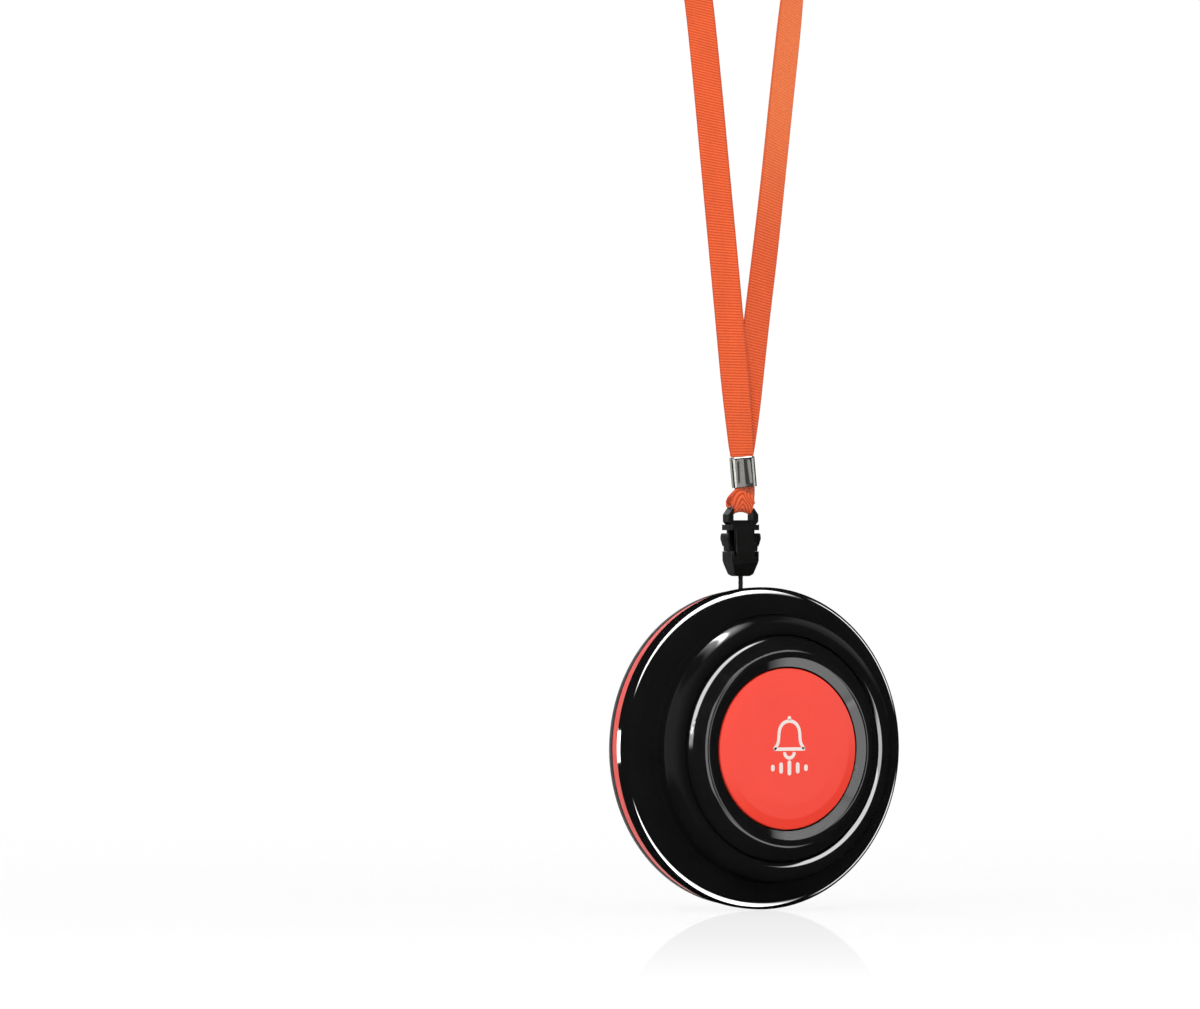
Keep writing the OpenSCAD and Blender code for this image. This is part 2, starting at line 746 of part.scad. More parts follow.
// Bent-wire antenna on two solder posts
module antenna_loop() {
    wire_z = board_front + antenna_h;
    color("#c87a4a") in_pendant() {
        rotate([0, 0, antenna_angles[0]]) rotate_extrude(angle = antenna_angles[1] - antenna_angles[0])
            translate([antenna_r, wire_z]) circle(r = antenna_wire_r);
        on_circle(antenna_r, antenna_angles)
            translate([0, 0, board_front]) cylinder(r = antenna_post_r, h = antenna_h + antenna_post_r);
    }
}

// Coin cell with its bevelled negative side towards the board
module coin_cell() {
    color("#c9c9cc") in_pendant() revolved([
        [0, cell_back],
        [cell_d / 2, cell_back, edge_round],
        [cell_d / 2, cell_front - cell_bevel, edge_round],
        [cell_d / 2 - cell_bevel, cell_front],
        [0, cell_front]
    ]);
}

// Positive clip: a strip over the cell with a leg and a foot at each end
module battery_clip() {
    leg_x = cell_d / 2 + cell_gap;
    out_x = leg_x + clip_strip_t;
    foot_x = out_x + clip_foot;
    foot_z = board_back - clip_strip_t;
    top_z = cell_back - clip_strip_t;
    color("#cfcabc") in_pendant() rotate([90, 0, 0]) linear_extrude(height = clip_strip_w, center = true)
        polygon([
            [-foot_x, board_back], [-foot_x, foot_z], [-out_x, foot_z], [-out_x, top_z], [out_x, top_z],
            [out_x, foot_z], [foot_x, foot_z], [foot_x, board_back], [leg_x, board_back],
            [leg_x, cell_back], [-leg_x, cell_back], [-leg_x, board_back]
        ]);
}

// Negative contact: a dished spring between the board and the cell
module battery_contact() {
    color("#cfcabc") in_pendant() revolved([
        [contact_tip_r - 1, cell_front],
        [contact_tip_r, cell_front],
        [contact_r - 1, board_back - contact_t],
        [contact_r, board_back - contact_t],
        [contact_r, board_back],
        [contact_r - 1.2, board_back],
        [contact_tip_r - 0.2, cell_front + contact_t],
        [contact_tip_r - 1, cell_front + contact_t]
    ]);
}

// Tether: a strand that hangs from the buckle and goes round the pendant's bar
module tether_cord() {
    top_z = -bar_drop + base_foot_z + tether_grip;
    pivot = [0, -eye_r, pendant_z + bar_y];
    route = concat(
        [[0, 0, top_z], [0, 0, (top_z + pivot[2]) / 2]],
        [for (i = [0:eye_steps])
            let(a = eye_turn * i / eye_steps)
            pivot + [eye_pitch * a / 360, eye_r * cos(a), -eye_r * sin(a)]]
    );
    rings = [for (i = [0:len(route) - 1])
        let(t = along(route, i), side = unit([1, 0, 0] - t * t[0]), up = cross(t, side))
        [for (s = [0:tether_sides - 1])
            let(a = 360 * s / tether_sides)
            route[i] + tether_d / 2 * (cos(a) * side + sin(a) * up)]];
    color("#161616") skin(rings);
}

// Arched bar between the buckle's two posts
module strap_bar() {
    half = asin((window_w / 2 + bar_root) / bar_arch_r);
    translate([0, 0, strap_bar_z - bar_arch_r]) rotate([90, 0, 0]) rotate([0, 0, 90 - half])
        rotate_extrude(angle = 2 * half) translate([bar_arch_r, 0]) circle(r = strap_bar_r);
}

// Upper half of the buckle: strap bar between two posts, flange, and a sheath with side windows
module buckle_frame() {
    shoulder_x = loop_w / 2;
    color("#1a1a1a") in_buckle() {
        difference() {
            upright(loop_t) polygon(rounded([
                [-shoulder_x + 0.6, flange_z],
                [-shoulder_x, flange_z + 0.6, edge_round],
                [-shoulder_x, loop_shoulder_z, edge_round],
                [-window_w / 2 - bar_root, post_top_z, edge_round],
                [window_w / 2 + bar_root, post_top_z, edge_round],
                [shoulder_x, loop_shoulder_z, edge_round],
                [shoulder_x, flange_z + 0.6, edge_round],
                [shoulder_x - 0.6, flange_z]
            ]));
            translate([-window_w / 2, -loop_t, -window_h]) cube([window_w, 2 * loop_t, 2 * window_h]);
        }
        strap_bar();
        raised(window_top_z, flange_h) polygon(rounded(rectangle(flange_w, sheath_t, 0.6)));
        for (side = [-1, 1])
            translate([0, side * (sheath_t - panel_wall) / 2, 0])
                raised(band_top_z - fuse, side_window_h + 2 * fuse)
                    polygon(rounded(rectangle(panel_w, panel_wall, edge_round)));
        difference() {
            intersection() {
                raised(band_z, band_h) polygon(rounded(rectangle(band_w, sheath_t, 0.9)));
                upright(2 * sheath_t) polygon(rounded([
                    [-base_w / 2, band_z],
                    [-band_w / 2, band_top_z - band_crown, 0.6],
                    [-band_w / 2 + band_flare, band_top_z],
                    [band_w / 2 - band_flare, band_top_z],
                    [band_w / 2, band_top_z - band_crown, 0.6],
                    [base_w / 2, band_z]
                ]));
            }
            raised(band_z - fuse, band_h + 2 * fuse) polygon(rounded(rectangle(mouth_w, cavity_t, 0)));
            for (side = [-1, 1])
                translate([side * (panel_w + slot_w) / 2 - slot_w / 2, -sheath_t, band_top_z - slot_h])
                    cube([slot_w, 2 * sheath_t, slot_h + fuse]);
        }
    }
}

// Room for an arm's foot in the clip's base
module arm_pocket() {
    upright(cavity_t) polygon([
        [tongue_w / 2 + fit, band_z],
        [tongue_w / 2 + fit, arm_pivot[1]],
        [arm_pivot[0] + arm_w / 2 + fit, arm_pivot[1]],
        [arm_mouth_x + fit, band_z]
    ]);
    translate([arm_pivot[0], 0, arm_pivot[1]]) rotate([90, 0, 0])
        cylinder(r = arm_root_r + pin_fit, h = cavity_t, center = true);
}

// Lower half of the buckle: tapered base that holds the tether, and the tongue that guides it
module buckle_clip() {
    color("#1a1a1a") in_buckle() {
        difference() {
            intersection() {
                upright(2 * sheath_t) polygon(rounded([
                    [-base_w / 2, base_z],
                    [-base_foot_w / 2, base_foot_z + 0.4, 0.5],
                    [-base_foot_w / 2 + 0.8, base_foot_z, 0.3],
                    [base_foot_w / 2 - 0.8, base_foot_z, 0.3],
                    [base_foot_w / 2, base_foot_z + 0.4, 0.5],
                    [base_w / 2, base_z]
                ]));
                rotate([0, 0, 90]) upright(2 * base_w) polygon(rounded([
                    [-base_t / 2, base_z],
                    [-base_t / 2, base_z - 0.8, 0.8],
                    [-base_foot_t / 2, base_foot_z, 0.3],
                    [base_foot_t / 2, base_foot_z, 0.3],
                    [base_t / 2, base_z - 0.8, 0.8],
                    [base_t / 2, base_z]
                ]));
            }
            for (side = [0, 1]) mirror([side, 0, 0]) arm_pocket();
            translate([0, 0, base_foot_z - fuse])
                cylinder(r = tether_d / 2 + fit, h = tether_grip + fuse + fit);
        }
        translate([-tongue_w / 2, -tongue_t / 2, base_z - fuse])
            cube([tongue_w, tongue_t, window_top_z - tongue_gap - base_z + fuse]);
    }
}

// Right-hand arm: root, latch that stands on the band, and the finger pad
module buckle_arm() {
    latch_z = band_top_z + latch_gap;
    foot_x = arm_pivot[0];
    outline = [
        [foot_x - arm_w / 2, arm_pivot[1]],
        [foot_x + arm_w / 2, arm_pivot[1]],
        [arm_mouth_x, band_z],
        [arm_mouth_x, latch_z],
        [arm_mouth_x + latch_w, latch_z, 0.15],
        [arm_mouth_x + latch_w, latch_z + 0.5, 0.3],
        [pads_w / 2, pad_z, 0.9],
        [pads_w / 2 - 0.15, arm_top_z, 0.35],
        [pad_in_x, arm_top_z, 0.25],
        [pad_in_x, pad_z - 0.6, 0.8],
        [arm_mouth_x - arm_w, latch_z, 0.6],
        [arm_mouth_x - arm_w, band_z]
    ];
    upright(arm_t) polygon(rounded(outline));
    intersection() {
        upright(pad_t) polygon(rounded(outline));
        translate([pads_w / 2 - arm_w + pad_step, -pad_t, latch_z + 0.6]) cube([arm_w, 2 * pad_t, 2 * side_window_h]);
    }
    translate([foot_x, 0, arm_pivot[1]]) rotate([90, 0, 0])
        cylinder(r = arm_root_r, h = arm_t, center = true);
}

module buckle_arm_left() { color("#202020") in_buckle() mirror([1, 0, 0]) buckle_arm(); }
module buckle_arm_right() { color("#202020") in_buckle() buckle_arm(); }

// Steel band folded round both layers of the strap, dented in front by the pressing tool
module crimp() {
    color("#8e8d86")
        translate([crimp_place[0], crimp_place[1], -crimp_drop]) rotate([0, 0, crimp_turn])
            rotate([0, -crimp_lean, 0]) difference() {
                raised(-crimp_h / 2, crimp_h) polygon(rounded(rectangle(crimp_w, crimp_t, crimp_round)));
                raised(-crimp_h / 2 - fuse, crimp_h + 2 * fuse)
                    polygon(rounded(rectangle(
                        crimp_w - 2 * crimp_wall, crimp_t - 2 * crimp_wall, crimp_round - crimp_wall
                    )));
                for (x = dent_x)
                    translate([x, -crimp_t / 2 - dent_r + dent_depth, 0])
                        rotate([0, x * 8, 0]) cylinder(r = dent_r, h = crimp_h * 0.62, center = true);
            }
}

// Woven strap: both runs, the turn at the neck and the small loop round the buckle's bar
module neck_strap() {
    rows = smooth(strap_route, strap_steps);
    points = [for (row = rows) [row[0], row[1], row[2]]];
    rings = [for (i = [0:len(rows) - 1])
        let(
            t = along(points, i),
            heading = [cos(rows[i][3]), sin(rows[i][3]), 0],
            side = unit(heading - t * (heading * t)),
            up = cross(t, side),
            w = strap_gathered_w + rows[i][4] * (strap_w - strap_gathered_w)
        )
        [for (p = strap_section(w))
            points[i] + p[0] * side + p[1] * up - [0, 0, rows[i][5] * bar_drop_at(p[0])]]];
    color("#ec6e42") rotate([0, 0, strap_turn]) skin(rings);
}

front_shell();
bezel_ring();
button_cap();
mid_ring();
back_cover();
lanyard_bar();
seal_ring();
housing_screws();
circuit_board();
board_screws();
switch_body();
switch_plunger();
status_led();
radio_chip();
chip_resistors();
crystal();
antenna_loop();
coin_cell();
battery_clip();
battery_contact();
tether_cord();
buckle_frame();
buckle_clip();
buckle_arm_left();
buckle_arm_right();
crimp();
neck_strap();
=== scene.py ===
"""Caregiver call button: a round pendant on a neck lanyard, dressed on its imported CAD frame.

Sizes are in millimetres in the dataclasses, and every mesh is built in metres in the frame's own
axes: the neck loop's top is the origin, +Z is up and the button faces -Y.
"""

from __future__ import annotations

import json
import logging
import math
from dataclasses import dataclass
from enum import Enum
from typing import Any, ClassVar, Iterable, Optional, Sequence

import bmesh
import bpy
from mathutils import Matrix, Vector

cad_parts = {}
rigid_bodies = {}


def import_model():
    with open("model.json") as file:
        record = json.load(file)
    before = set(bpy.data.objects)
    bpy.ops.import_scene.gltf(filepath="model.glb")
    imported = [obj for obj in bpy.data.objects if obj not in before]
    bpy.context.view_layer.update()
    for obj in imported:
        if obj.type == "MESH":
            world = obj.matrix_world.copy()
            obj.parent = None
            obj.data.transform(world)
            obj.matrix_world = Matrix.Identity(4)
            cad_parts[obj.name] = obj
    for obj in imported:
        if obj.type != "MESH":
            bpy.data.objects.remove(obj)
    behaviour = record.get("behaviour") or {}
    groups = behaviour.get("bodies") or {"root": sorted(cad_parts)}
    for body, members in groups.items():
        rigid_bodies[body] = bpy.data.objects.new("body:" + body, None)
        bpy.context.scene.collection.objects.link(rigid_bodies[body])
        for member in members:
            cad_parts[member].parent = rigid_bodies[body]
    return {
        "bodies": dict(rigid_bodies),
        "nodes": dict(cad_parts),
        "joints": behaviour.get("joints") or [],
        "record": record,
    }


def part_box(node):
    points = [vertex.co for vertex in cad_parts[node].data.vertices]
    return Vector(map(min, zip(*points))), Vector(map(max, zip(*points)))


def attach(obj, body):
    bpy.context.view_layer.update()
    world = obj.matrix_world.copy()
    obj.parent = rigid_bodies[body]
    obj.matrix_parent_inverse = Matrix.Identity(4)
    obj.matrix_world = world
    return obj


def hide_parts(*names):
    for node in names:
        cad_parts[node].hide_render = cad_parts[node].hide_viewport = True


MM = 0.001
RIB_PITCH = 0.56
log = logging.getLogger("call_button")

Point2 = tuple[float, float]
Span = tuple[float, float]
Colour = tuple[float, float, float]


class Body(Enum):
    """Moving bodies of the frame that pieces ride on."""

    LANYARD = "lanyard"
    ARM_LEFT = "arm_left"
    ARM_RIGHT = "arm_right"
    TETHER = "tether"
    PENDANT = "pendant"
    BUTTON = "button"


class Slot(Enum):
    """Material slots of the record, which the pieces made here name."""

    BLACK_GLOSS = "black_gloss"
    RED = "red"
    BLACK_PLASTIC = "black_plastic"
    STEEL = "steel"
    STRAP_WEB = "strap_web"
    TETHER_BRAID = "tether_braid"


def linear(red: int, green: int, blue: int) -> Colour:
    """Turns an 8-bit screen colour into linear light.

    Args:
        red: Red, 0 to 255.
        green: Green, 0 to 255.
        blue: Blue, 0 to 255.

    Returns:
        The linear colour.
    """
    channels = []
    for value in (red, green, blue):
        share = value / 255.0
        channels.append(share / 12.92 if share <= 0.04045 else ((share + 0.055) / 1.055) ** 2.4)
    return channels[0], channels[1], channels[2]


def shade(colour: Colour, factor: float) -> Colour:
    """Scales a colour's light."""
    return colour[0] * factor, colour[1] * factor, colour[2] * factor


class Nodes:
    """Builder for the shader nodes of one tree."""

    def __init__(self, tree: bpy.types.NodeTree) -> None:
        """Takes a tree and empties it."""
        self.tree = tree
        self.tree.nodes.clear()

    def add(self, kind: str, **settings: Any) -> bpy.types.Node:
        """Adds a node and sets its properties.

        Args:
            kind: Blender's identifier of the node.
            **settings: Properties of the node.

        Returns:
            The node.
        """
        node = self.tree.nodes.new(kind)
        for key, value in settings.items():
            setattr(node, key, value)
        return node

    def join(self, source: bpy.types.NodeSocket, target: bpy.types.NodeSocket) -> None:
        """Links an output to an input."""
        self.tree.links.new(source, target)

    def math(self, operation: str, *values: Any) -> bpy.types.NodeSocket:
        """Adds a Math node.

        Args:
            operation: Blender's name of the operation.
            *values: Sockets or numbers.

        Returns:
            The result.
        """
        node = self.add("ShaderNodeMath", operation=operation)
        for socket, value in zip(node.inputs, values):
            if isinstance(value, (int, float)):
                socket.default_value = value
            else:
                self.join(value, socket)
        return node.outputs["Value"]

    def span(
        self, value: bpy.types.NodeSocket, start: float, end: float, low: float, high: float
    ) -> bpy.types.NodeSocket:
        """Maps a value from one range to another with soft ends.

        Args:
            value: Number to map.
            start: Value that gives low.
            end: Value that gives high.
            low: First result.
            high: Last result.

        Returns:
            The mapped number.
        """
        node = self.add("ShaderNodeMapRange", interpolation_type="SMOOTHSTEP")
        for key, number in zip(("From Min", "From Max", "To Min", "To Max"), (start, end, low, high)):
            node.inputs[key].default_value = number
        self.join(value, node.inputs["Value"])
        return node.outputs["Result"]

    def both(self, first: bpy.types.NodeSocket, second: bpy.types.NodeSocket) -> bpy.types.NodeSocket:
        """Adds up two shaders.

        Args:
            first: Shader.
            second: Shader.

        Returns:
            The sum.
        """
        node = self.add("ShaderNodeAddShader")
        self.join(first, node.inputs[0])
        self.join(second, node.inputs[1])
        return node.outputs[0]

    def mix(
        self, share: bpy.types.NodeSocket, first: bpy.types.NodeSocket, second: bpy.types.NodeSocket
    ) -> bpy.types.NodeSocket:
        """Mixes two shaders.

        Args:
            share: How much of the second shows.
            first: Shader.
            second: Shader.

        Returns:
            The mixed shader.
        """
        node = self.add("ShaderNodeMixShader")
        for socket, value in zip(node.inputs, (share, first, second)):
            self.join(value, socket)
        return node.outputs[0]


class Graph(Nodes):
    """Builder for one material's nodes, round a Principled shader."""

    def __init__(self, name: str) -> None:
        """Starts a material that holds a Principled shader.

        Args:
            name: Name of the material.
        """
        self.material = bpy.data.materials.new(name)
        self.material.use_nodes = True
        super().__init__(self.material.node_tree)
        self.output = self.add("ShaderNodeOutputMaterial")
        self.shader = self.add("ShaderNodeBsdfPrincipled")
        self.join(self.shader.outputs["BSDF"], self.output.inputs["Surface"])

    def surface(self, shader: bpy.types.NodeSocket) -> None:
        """Shows another shader in the Principled shader's place."""
        self.tree.nodes.remove(self.shader)
        self.join(shader, self.output.inputs["Surface"])

    def put(self, **values: Any) -> None:
        """Sets constants on the Principled shader's own sockets, with _ for a space in a name."""
        for key, value in values.items():
            socket = self.shader.inputs[key.replace("_", " ")]
            is_colour = isinstance(value, tuple) and len(value) == 3
            socket.default_value = (*value, 1.0) if is_colour else value

    def place(self, scale: Sequence[float] = (1.0, 1.0, 1.0), turn: float = 0.0) -> bpy.types.NodeSocket:
        """Gives Object coordinates, scaled and turned about Z.

        Args:
            scale: Scale on each axis.
            turn: Turn about Z in radians.

        Returns:
            The vector socket.
        """
        coordinates = self.add("ShaderNodeTexCoord")
        mapping = self.add("ShaderNodeMapping")
        mapping.inputs["Scale"].default_value = tuple(scale)
        mapping.inputs["Rotation"].default_value = (0.0, 0.0, turn)
        self.join(coordinates.outputs["Object"], mapping.inputs["Vector"])
        return mapping.outputs["Vector"]

    def attribute(self, name: str) -> bpy.types.NodeSocket:
        """Gives a number that the mesh carries under a name."""
        return self.add("ShaderNodeAttribute", attribute_name=name).outputs["Fac"]

    def noise(
        self, vector: bpy.types.NodeSocket, wave: float, detail: float = 3.0, rough: float = 0.5
    ) -> bpy.types.NodeSocket:
        """Adds noise of a given wavelength.

        Args:
            vector: Coordinates in metres.
            wave: Size of the largest features, in millimetres.
            detail: Octaves.
            rough: Share of each finer octave.

        Returns:
            The noise value, about 0.5 on average.
        """
        node = self.add("ShaderNodeTexNoise")
        node.inputs["Scale"].default_value = 1.0 / (wave * MM)
        node.inputs["Detail"].default_value = detail
        node.inputs["Roughness"].default_value = rough
        self.join(vector, node.inputs["Vector"])
        return node.outputs["Fac"]

    def ramp(
        self, value: bpy.types.NodeSocket, stops: Sequence[tuple[float, Colour]]
    ) -> bpy.types.NodeSocket:
        """Turns a value into a colour.

        Args:
            value: Number from 0 to 1.
            stops: Places and linear colours.

        Returns:
            The colour.
        """
        node = self.add("ShaderNodeValToRGB")
        elements = node.color_ramp.elements
        while len(elements) < len(stops):
            elements.new(1.0)
        for element, (position, colour) in zip(elements, stops):
            element.position = position
            element.color = (*colour, 1.0)
        self.join(value, node.inputs["Fac"])
        return node.outputs["Color"]

    def blend(
        self, share: bpy.types.NodeSocket, first: bpy.types.NodeSocket, second: Any
    ) -> bpy.types.NodeSocket:
        """Mixes two colours.

        Args:
            share: How much of the second shows.
            first: Colour socket.
            second: Colour socket or a constant colour.

        Returns:
            The mixed colour.
        """
        node = self.add("ShaderNodeMix", data_type="RGBA")
        self.join(share, node.inputs["Factor"])
        self.join(first, node.inputs[6])
        if isinstance(second, tuple):
            node.inputs[7].default_value = (*second, 1.0)
        else:
            self.join(second, node.inputs[7])
        return node.outputs[2]

    def bump(self, height: bpy.types.NodeSocket, depth: float) -> None:
        """Bumps the shader's surface, on top of any bump it already has.

        Args:
            height: Height from 0 to 1.
            depth: Height of 1, in millimetres.
        """
        node = self.add("ShaderNodeBump")
        node.inputs["Distance"].default_value = depth * MM
        self.join(height, node.inputs["Height"])
        normal = self.shader.inputs["Normal"]
        if normal.is_linked:
            self.join(normal.links[0].from_socket, node.inputs["Normal"])
        self.join(node.outputs["Normal"], normal)

    def base(self, colour: bpy.types.NodeSocket) -> None:
        """Feeds the shader's base colour."""
        self.join(colour, self.shader.inputs["Base Color"])

    def rough(self, value: bpy.types.NodeSocket) -> None:
        """Feeds the shader's roughness."""
        self.join(value, self.shader.inputs["Roughness"])


@dataclass(frozen=True)
class MouldedPlastic:
    """Injection-moulded plastic: even colour with faint flow, a fine skin and handling marks."""

    name: str
    colour: Colour
    roughness: float
    skin_wave: float = 0.5
    skin_depth: float = 0.0012
    mottle: float = 0.08
    marks: float = 0.05
    specular: float = 0.5
    flow_wave: float = 9.0
    mark_wave: float = 0.9
    mark_stretch: tuple[float, float, float] = (1.0, 1.0, 0.25)
    mark_turn: float = 0.6

    def material(self) -> bpy.types.Material:
        """Builds the material."""
        graph = Graph(self.name)
        place = graph.place()
        graph.put(Specular_IOR_Level=self.specular)
        flow = graph.noise(place, self.flow_wave, 4.0, 0.55)
        low = shade(self.colour, 1.0 - self.mottle)
        high = shade(self.colour, 1.0 + self.mottle)
        graph.base(graph.ramp(flow, [(0.3, low), (0.7, high)]))
        wear = graph.noise(graph.place(self.mark_stretch, self.mark_turn), self.mark_wave, 5.0, 0.65)
        graph.rough(graph.span(wear, 0.45, 0.8, self.roughness, self.roughness + self.marks))
        graph.bump(graph.noise(place, self.skin_wave, 3.0, 0.5), self.skin_depth)
        return graph.material


@dataclass(frozen=True)
class Metal:
    """Bare metal with drawn streaks along one axis and small stains."""

    name: str
    colour: Colour
    roughness: float
    streak: tuple[float, float, float] = (1.0, 1.0, 0.08)
    streak_wave: float = 0.35
    streak_depth: float = 0.004
    stain: float = 0.25
    stain_wave: float = 1.6
    rough_spread: Span = (0.7, 1.5)

    def material(self) -> bpy.types.Material:
        """Builds the material."""
        graph = Graph(self.name)
        graph.put(Metallic=1.0)
        streaks = graph.noise(graph.place(self.streak), self.streak_wave, 4.0, 0.6)
        stains = graph.noise(graph.place(), self.stain_wave, 4.0, 0.6)
        dark = shade(self.colour, 1.0 - self.stain)
        graph.base(graph.ramp(stains, [(0.3, dark), (0.62, self.colour)]))
        low, high = (self.roughness * factor for factor in self.rough_spread)
        graph.rough(graph.span(streaks, 0.25, 0.75, low, high))
        if self.streak_depth > 0.0:
            graph.bump(streaks, self.streak_depth)
        return graph.material


@dataclass(frozen=True)
class Webbing:
    """Dyed polyester webbing: slanted ribs, darker selvedges, fine yarn, painted shade in the rib grooves and
    the loop, and one run painted paler as painted light.
    """

    name: str = "orange_webbing"
    colour: Colour = linear(253, 108, 58)
    # pale is painted light: the paler orange of the run painted lighter
    pale: Colour = linear(255, 132, 76)
    # groove is painted shade: the darker orange of the rib grooves, also used for the selvedges
    groove_shade: Colour = linear(190, 60, 26)
    shadow: Colour = linear(140, 34, 12)
    pitch: float = RIB_PITCH
    rib_depth: float = 0.05
    groove_shade_share: float = 0.68
    loop_share: float = 0.4
    selvedge: Span = (0.86, 0.98)
    selvedge_share: float = 0.5
    # wear is the share of the painted groove shade taken away on the run painted lighter
    wear: float = 0.7
    dye_wave: float = 3.2
    dye_stretch: tuple[float, float, float] = (1.0, 1.0, 0.35)
    yarn_wave: float = 0.35
    yarn_stretch: tuple[float, float, float] = (1.0, 1.0, 0.5)
    yarn_depth: float = 0.03

    def material(self) -> bpy.types.Material:
        """Builds the material from the strap's weave, edge and loop attributes and the attribute that marks
        the run painted paler.
        """
        graph = Graph(self.name)
        weave = graph.attribute("weave")
        edge = graph.math("ABSOLUTE", graph.attribute("edge"))
        lit_run = graph.attribute("lit_run")
        loop = graph.attribute("loop")
        graph.put(Specular_IOR_Level=0.25, Sheen_Weight=0.18, Sheen_Roughness=0.45)
        wave = graph.math("SINE", graph.math("MULTIPLY", weave, 2.0 * math.pi / (self.pitch * MM)))
        rib = graph.span(wave, -1.0, 0.4, 0.0, 1.0)
        # painted light: on the run painted lighter the painted groove shade is weaker
        fade = graph.math("SUBTRACT", 1.0, graph.math("MULTIPLY", lit_run, self.wear))
        # painted shade: the rib grooves are darkened, less on the run painted lighter
        valley_shade = graph.math("MULTIPLY", graph.math("SUBTRACT", 1.0, rib), fade)
        dye = graph.noise(graph.place(self.dye_stretch), self.dye_wave, 4.0, 0.6)
        ground = graph.ramp(dye, [(0.28, shade(self.colour, 0.9)), (0.72, shade(self.colour, 1.07))])
        # painted light: the marked run is blended towards the paler orange
        ground = graph.blend(lit_run, ground, self.pale)
        ground = graph.blend(graph.math("MULTIPLY", valley_shade, self.groove_shade_share), ground, self.groove_shade)
        # darker towards both selvedges, in the groove shade colour
        rim = graph.span(edge, *self.selvedge, 0.0, self.selvedge_share)
        ground = graph.blend(rim, ground, self.groove_shade)
        # painted shadow: the grooves of the loop round the buckle's bar are darkened
        dark = graph.math("MULTIPLY", graph.math("MULTIPLY", valley_shade, loop), self.loop_share)
        ground = graph.blend(dark, ground, self.shadow)
        fibre = graph.noise(graph.place(self.yarn_stretch), self.yarn_wave, 3.0, 0.6)
        fleck = graph.span(fibre, 0.35, 0.7, 0.2, 0.0)
        graph.base(graph.blend(fleck, ground, shade(self.colour, 0.5)))
        graph.rough(graph.span(dye, 0.2, 0.8, 0.62, 0.78))
        graph.bump(rib, self.rib_depth)
        graph.bump(fibre, self.yarn_depth)
        return graph.material


@dataclass(frozen=True)
class BraidedCord:
    """Black braided nylon: crossed strands that catch the light along their crowns."""

    name: str = "black_braid"
    low: Colour = linear(8, 8, 8)
    high: Colour = linear(34, 33, 32)
    fuzz_wave: float = 0.12
    fuzz_depth: float = 0.01

    def material(self) -> bpy.types.Material:
        """Builds the material from the cord's strand attribute."""
        graph = Graph(self.name)
        graph.put(Specular_IOR_Level=0.35, Sheen_Weight=0.12)
        strand = graph.attribute("strand")
        fuzz = graph.noise(graph.place(), self.fuzz_wave, 3.0, 0.6)
        # painted highlight along the strands' crowns and painted shade between them
        tone = graph.math("MULTIPLY", strand, graph.span(fuzz, 0.3, 0.7, 0.7, 1.0))
        graph.base(graph.ramp(tone, [(0.1, self.low), (0.95, self.high)]))
        graph.rough(graph.span(fuzz, 0.3, 0.7, 0.45, 0.7))
        graph.bump(fuzz, self.fuzz_depth)
        return graph.material


@dataclass(frozen=True)
class PrintedInk:
    """White pad-printed ink: thin coverage with tiny pinholes."""

    name: str = "white_ink"
    colour: Colour = linear(250, 236, 230)
    grain_wave: float = 0.16
    grain_depth: float = 0.004

    def material(self) -> bpy.types.Material:
        """Builds the material."""
        graph = Graph(self.name)
        graph.put(Specular_IOR_Level=0.4)
        grain = graph.noise(graph.place(), self.grain_wave, 3.0, 0.6)
        graph.base(graph.ramp(grain, [(0.2, shade(self.colour, 0.86)), (0.5, self.colour)]))
        graph.rough(graph.span(grain, 0.3, 0.7, 0.5, 0.62))
        graph.bump(grain, self.grain_depth)
        return graph.material


@dataclass(frozen=True)
class BoardMask:
    """Green solder mask over copper tracks on a round board."""

    name: str = "board_mask"
    ground: Colour = linear(22, 84, 48)
    track: Colour = linear(44, 122, 72)
    track_wave: float = 2.4
    track_width: float = 0.06
    track_height: float = 0.03
    glass_wave: float = 0.7

    def material(self) -> bpy.types.Material:
        """Builds the material."""
        graph = Graph(self.name)
        graph.put(Coat_Weight=0.3, Coat_Roughness=0.15)
        grid = graph.add("ShaderNodeTexBrick", offset=0.5)
        grid.inputs["Scale"].default_value = 1.0 / (self.track_wave * MM)
        grid.inputs["Mortar Size"].default_value = self.track_width
        grid.inputs["Color1"].default_value = (*self.ground, 1.0)
        grid.inputs["Color2"].default_value = (*shade(self.ground, 0.85), 1.0)
        grid.inputs["Mortar"].default_value = (*self.track, 1.0)
        turned = graph.add("ShaderNodeMapping")
        turned.inputs["Rotation"].default_value = (math.radians(90.0), 0.0, 0.0)
        graph.join(graph.place(), turned.inputs["Vector"])
        graph.join(turned.outputs["Vector"], grid.inputs["Vector"])
        graph.base(grid.outputs["Color"])
        glass = graph.noise(graph.place(), self.glass_wave, 3.0, 0.5)
        graph.rough(graph.span(glass, 0.3, 0.7, 0.32, 0.45))
        graph.bump(grid.outputs["Fac"], self.track_height)
        return graph.material


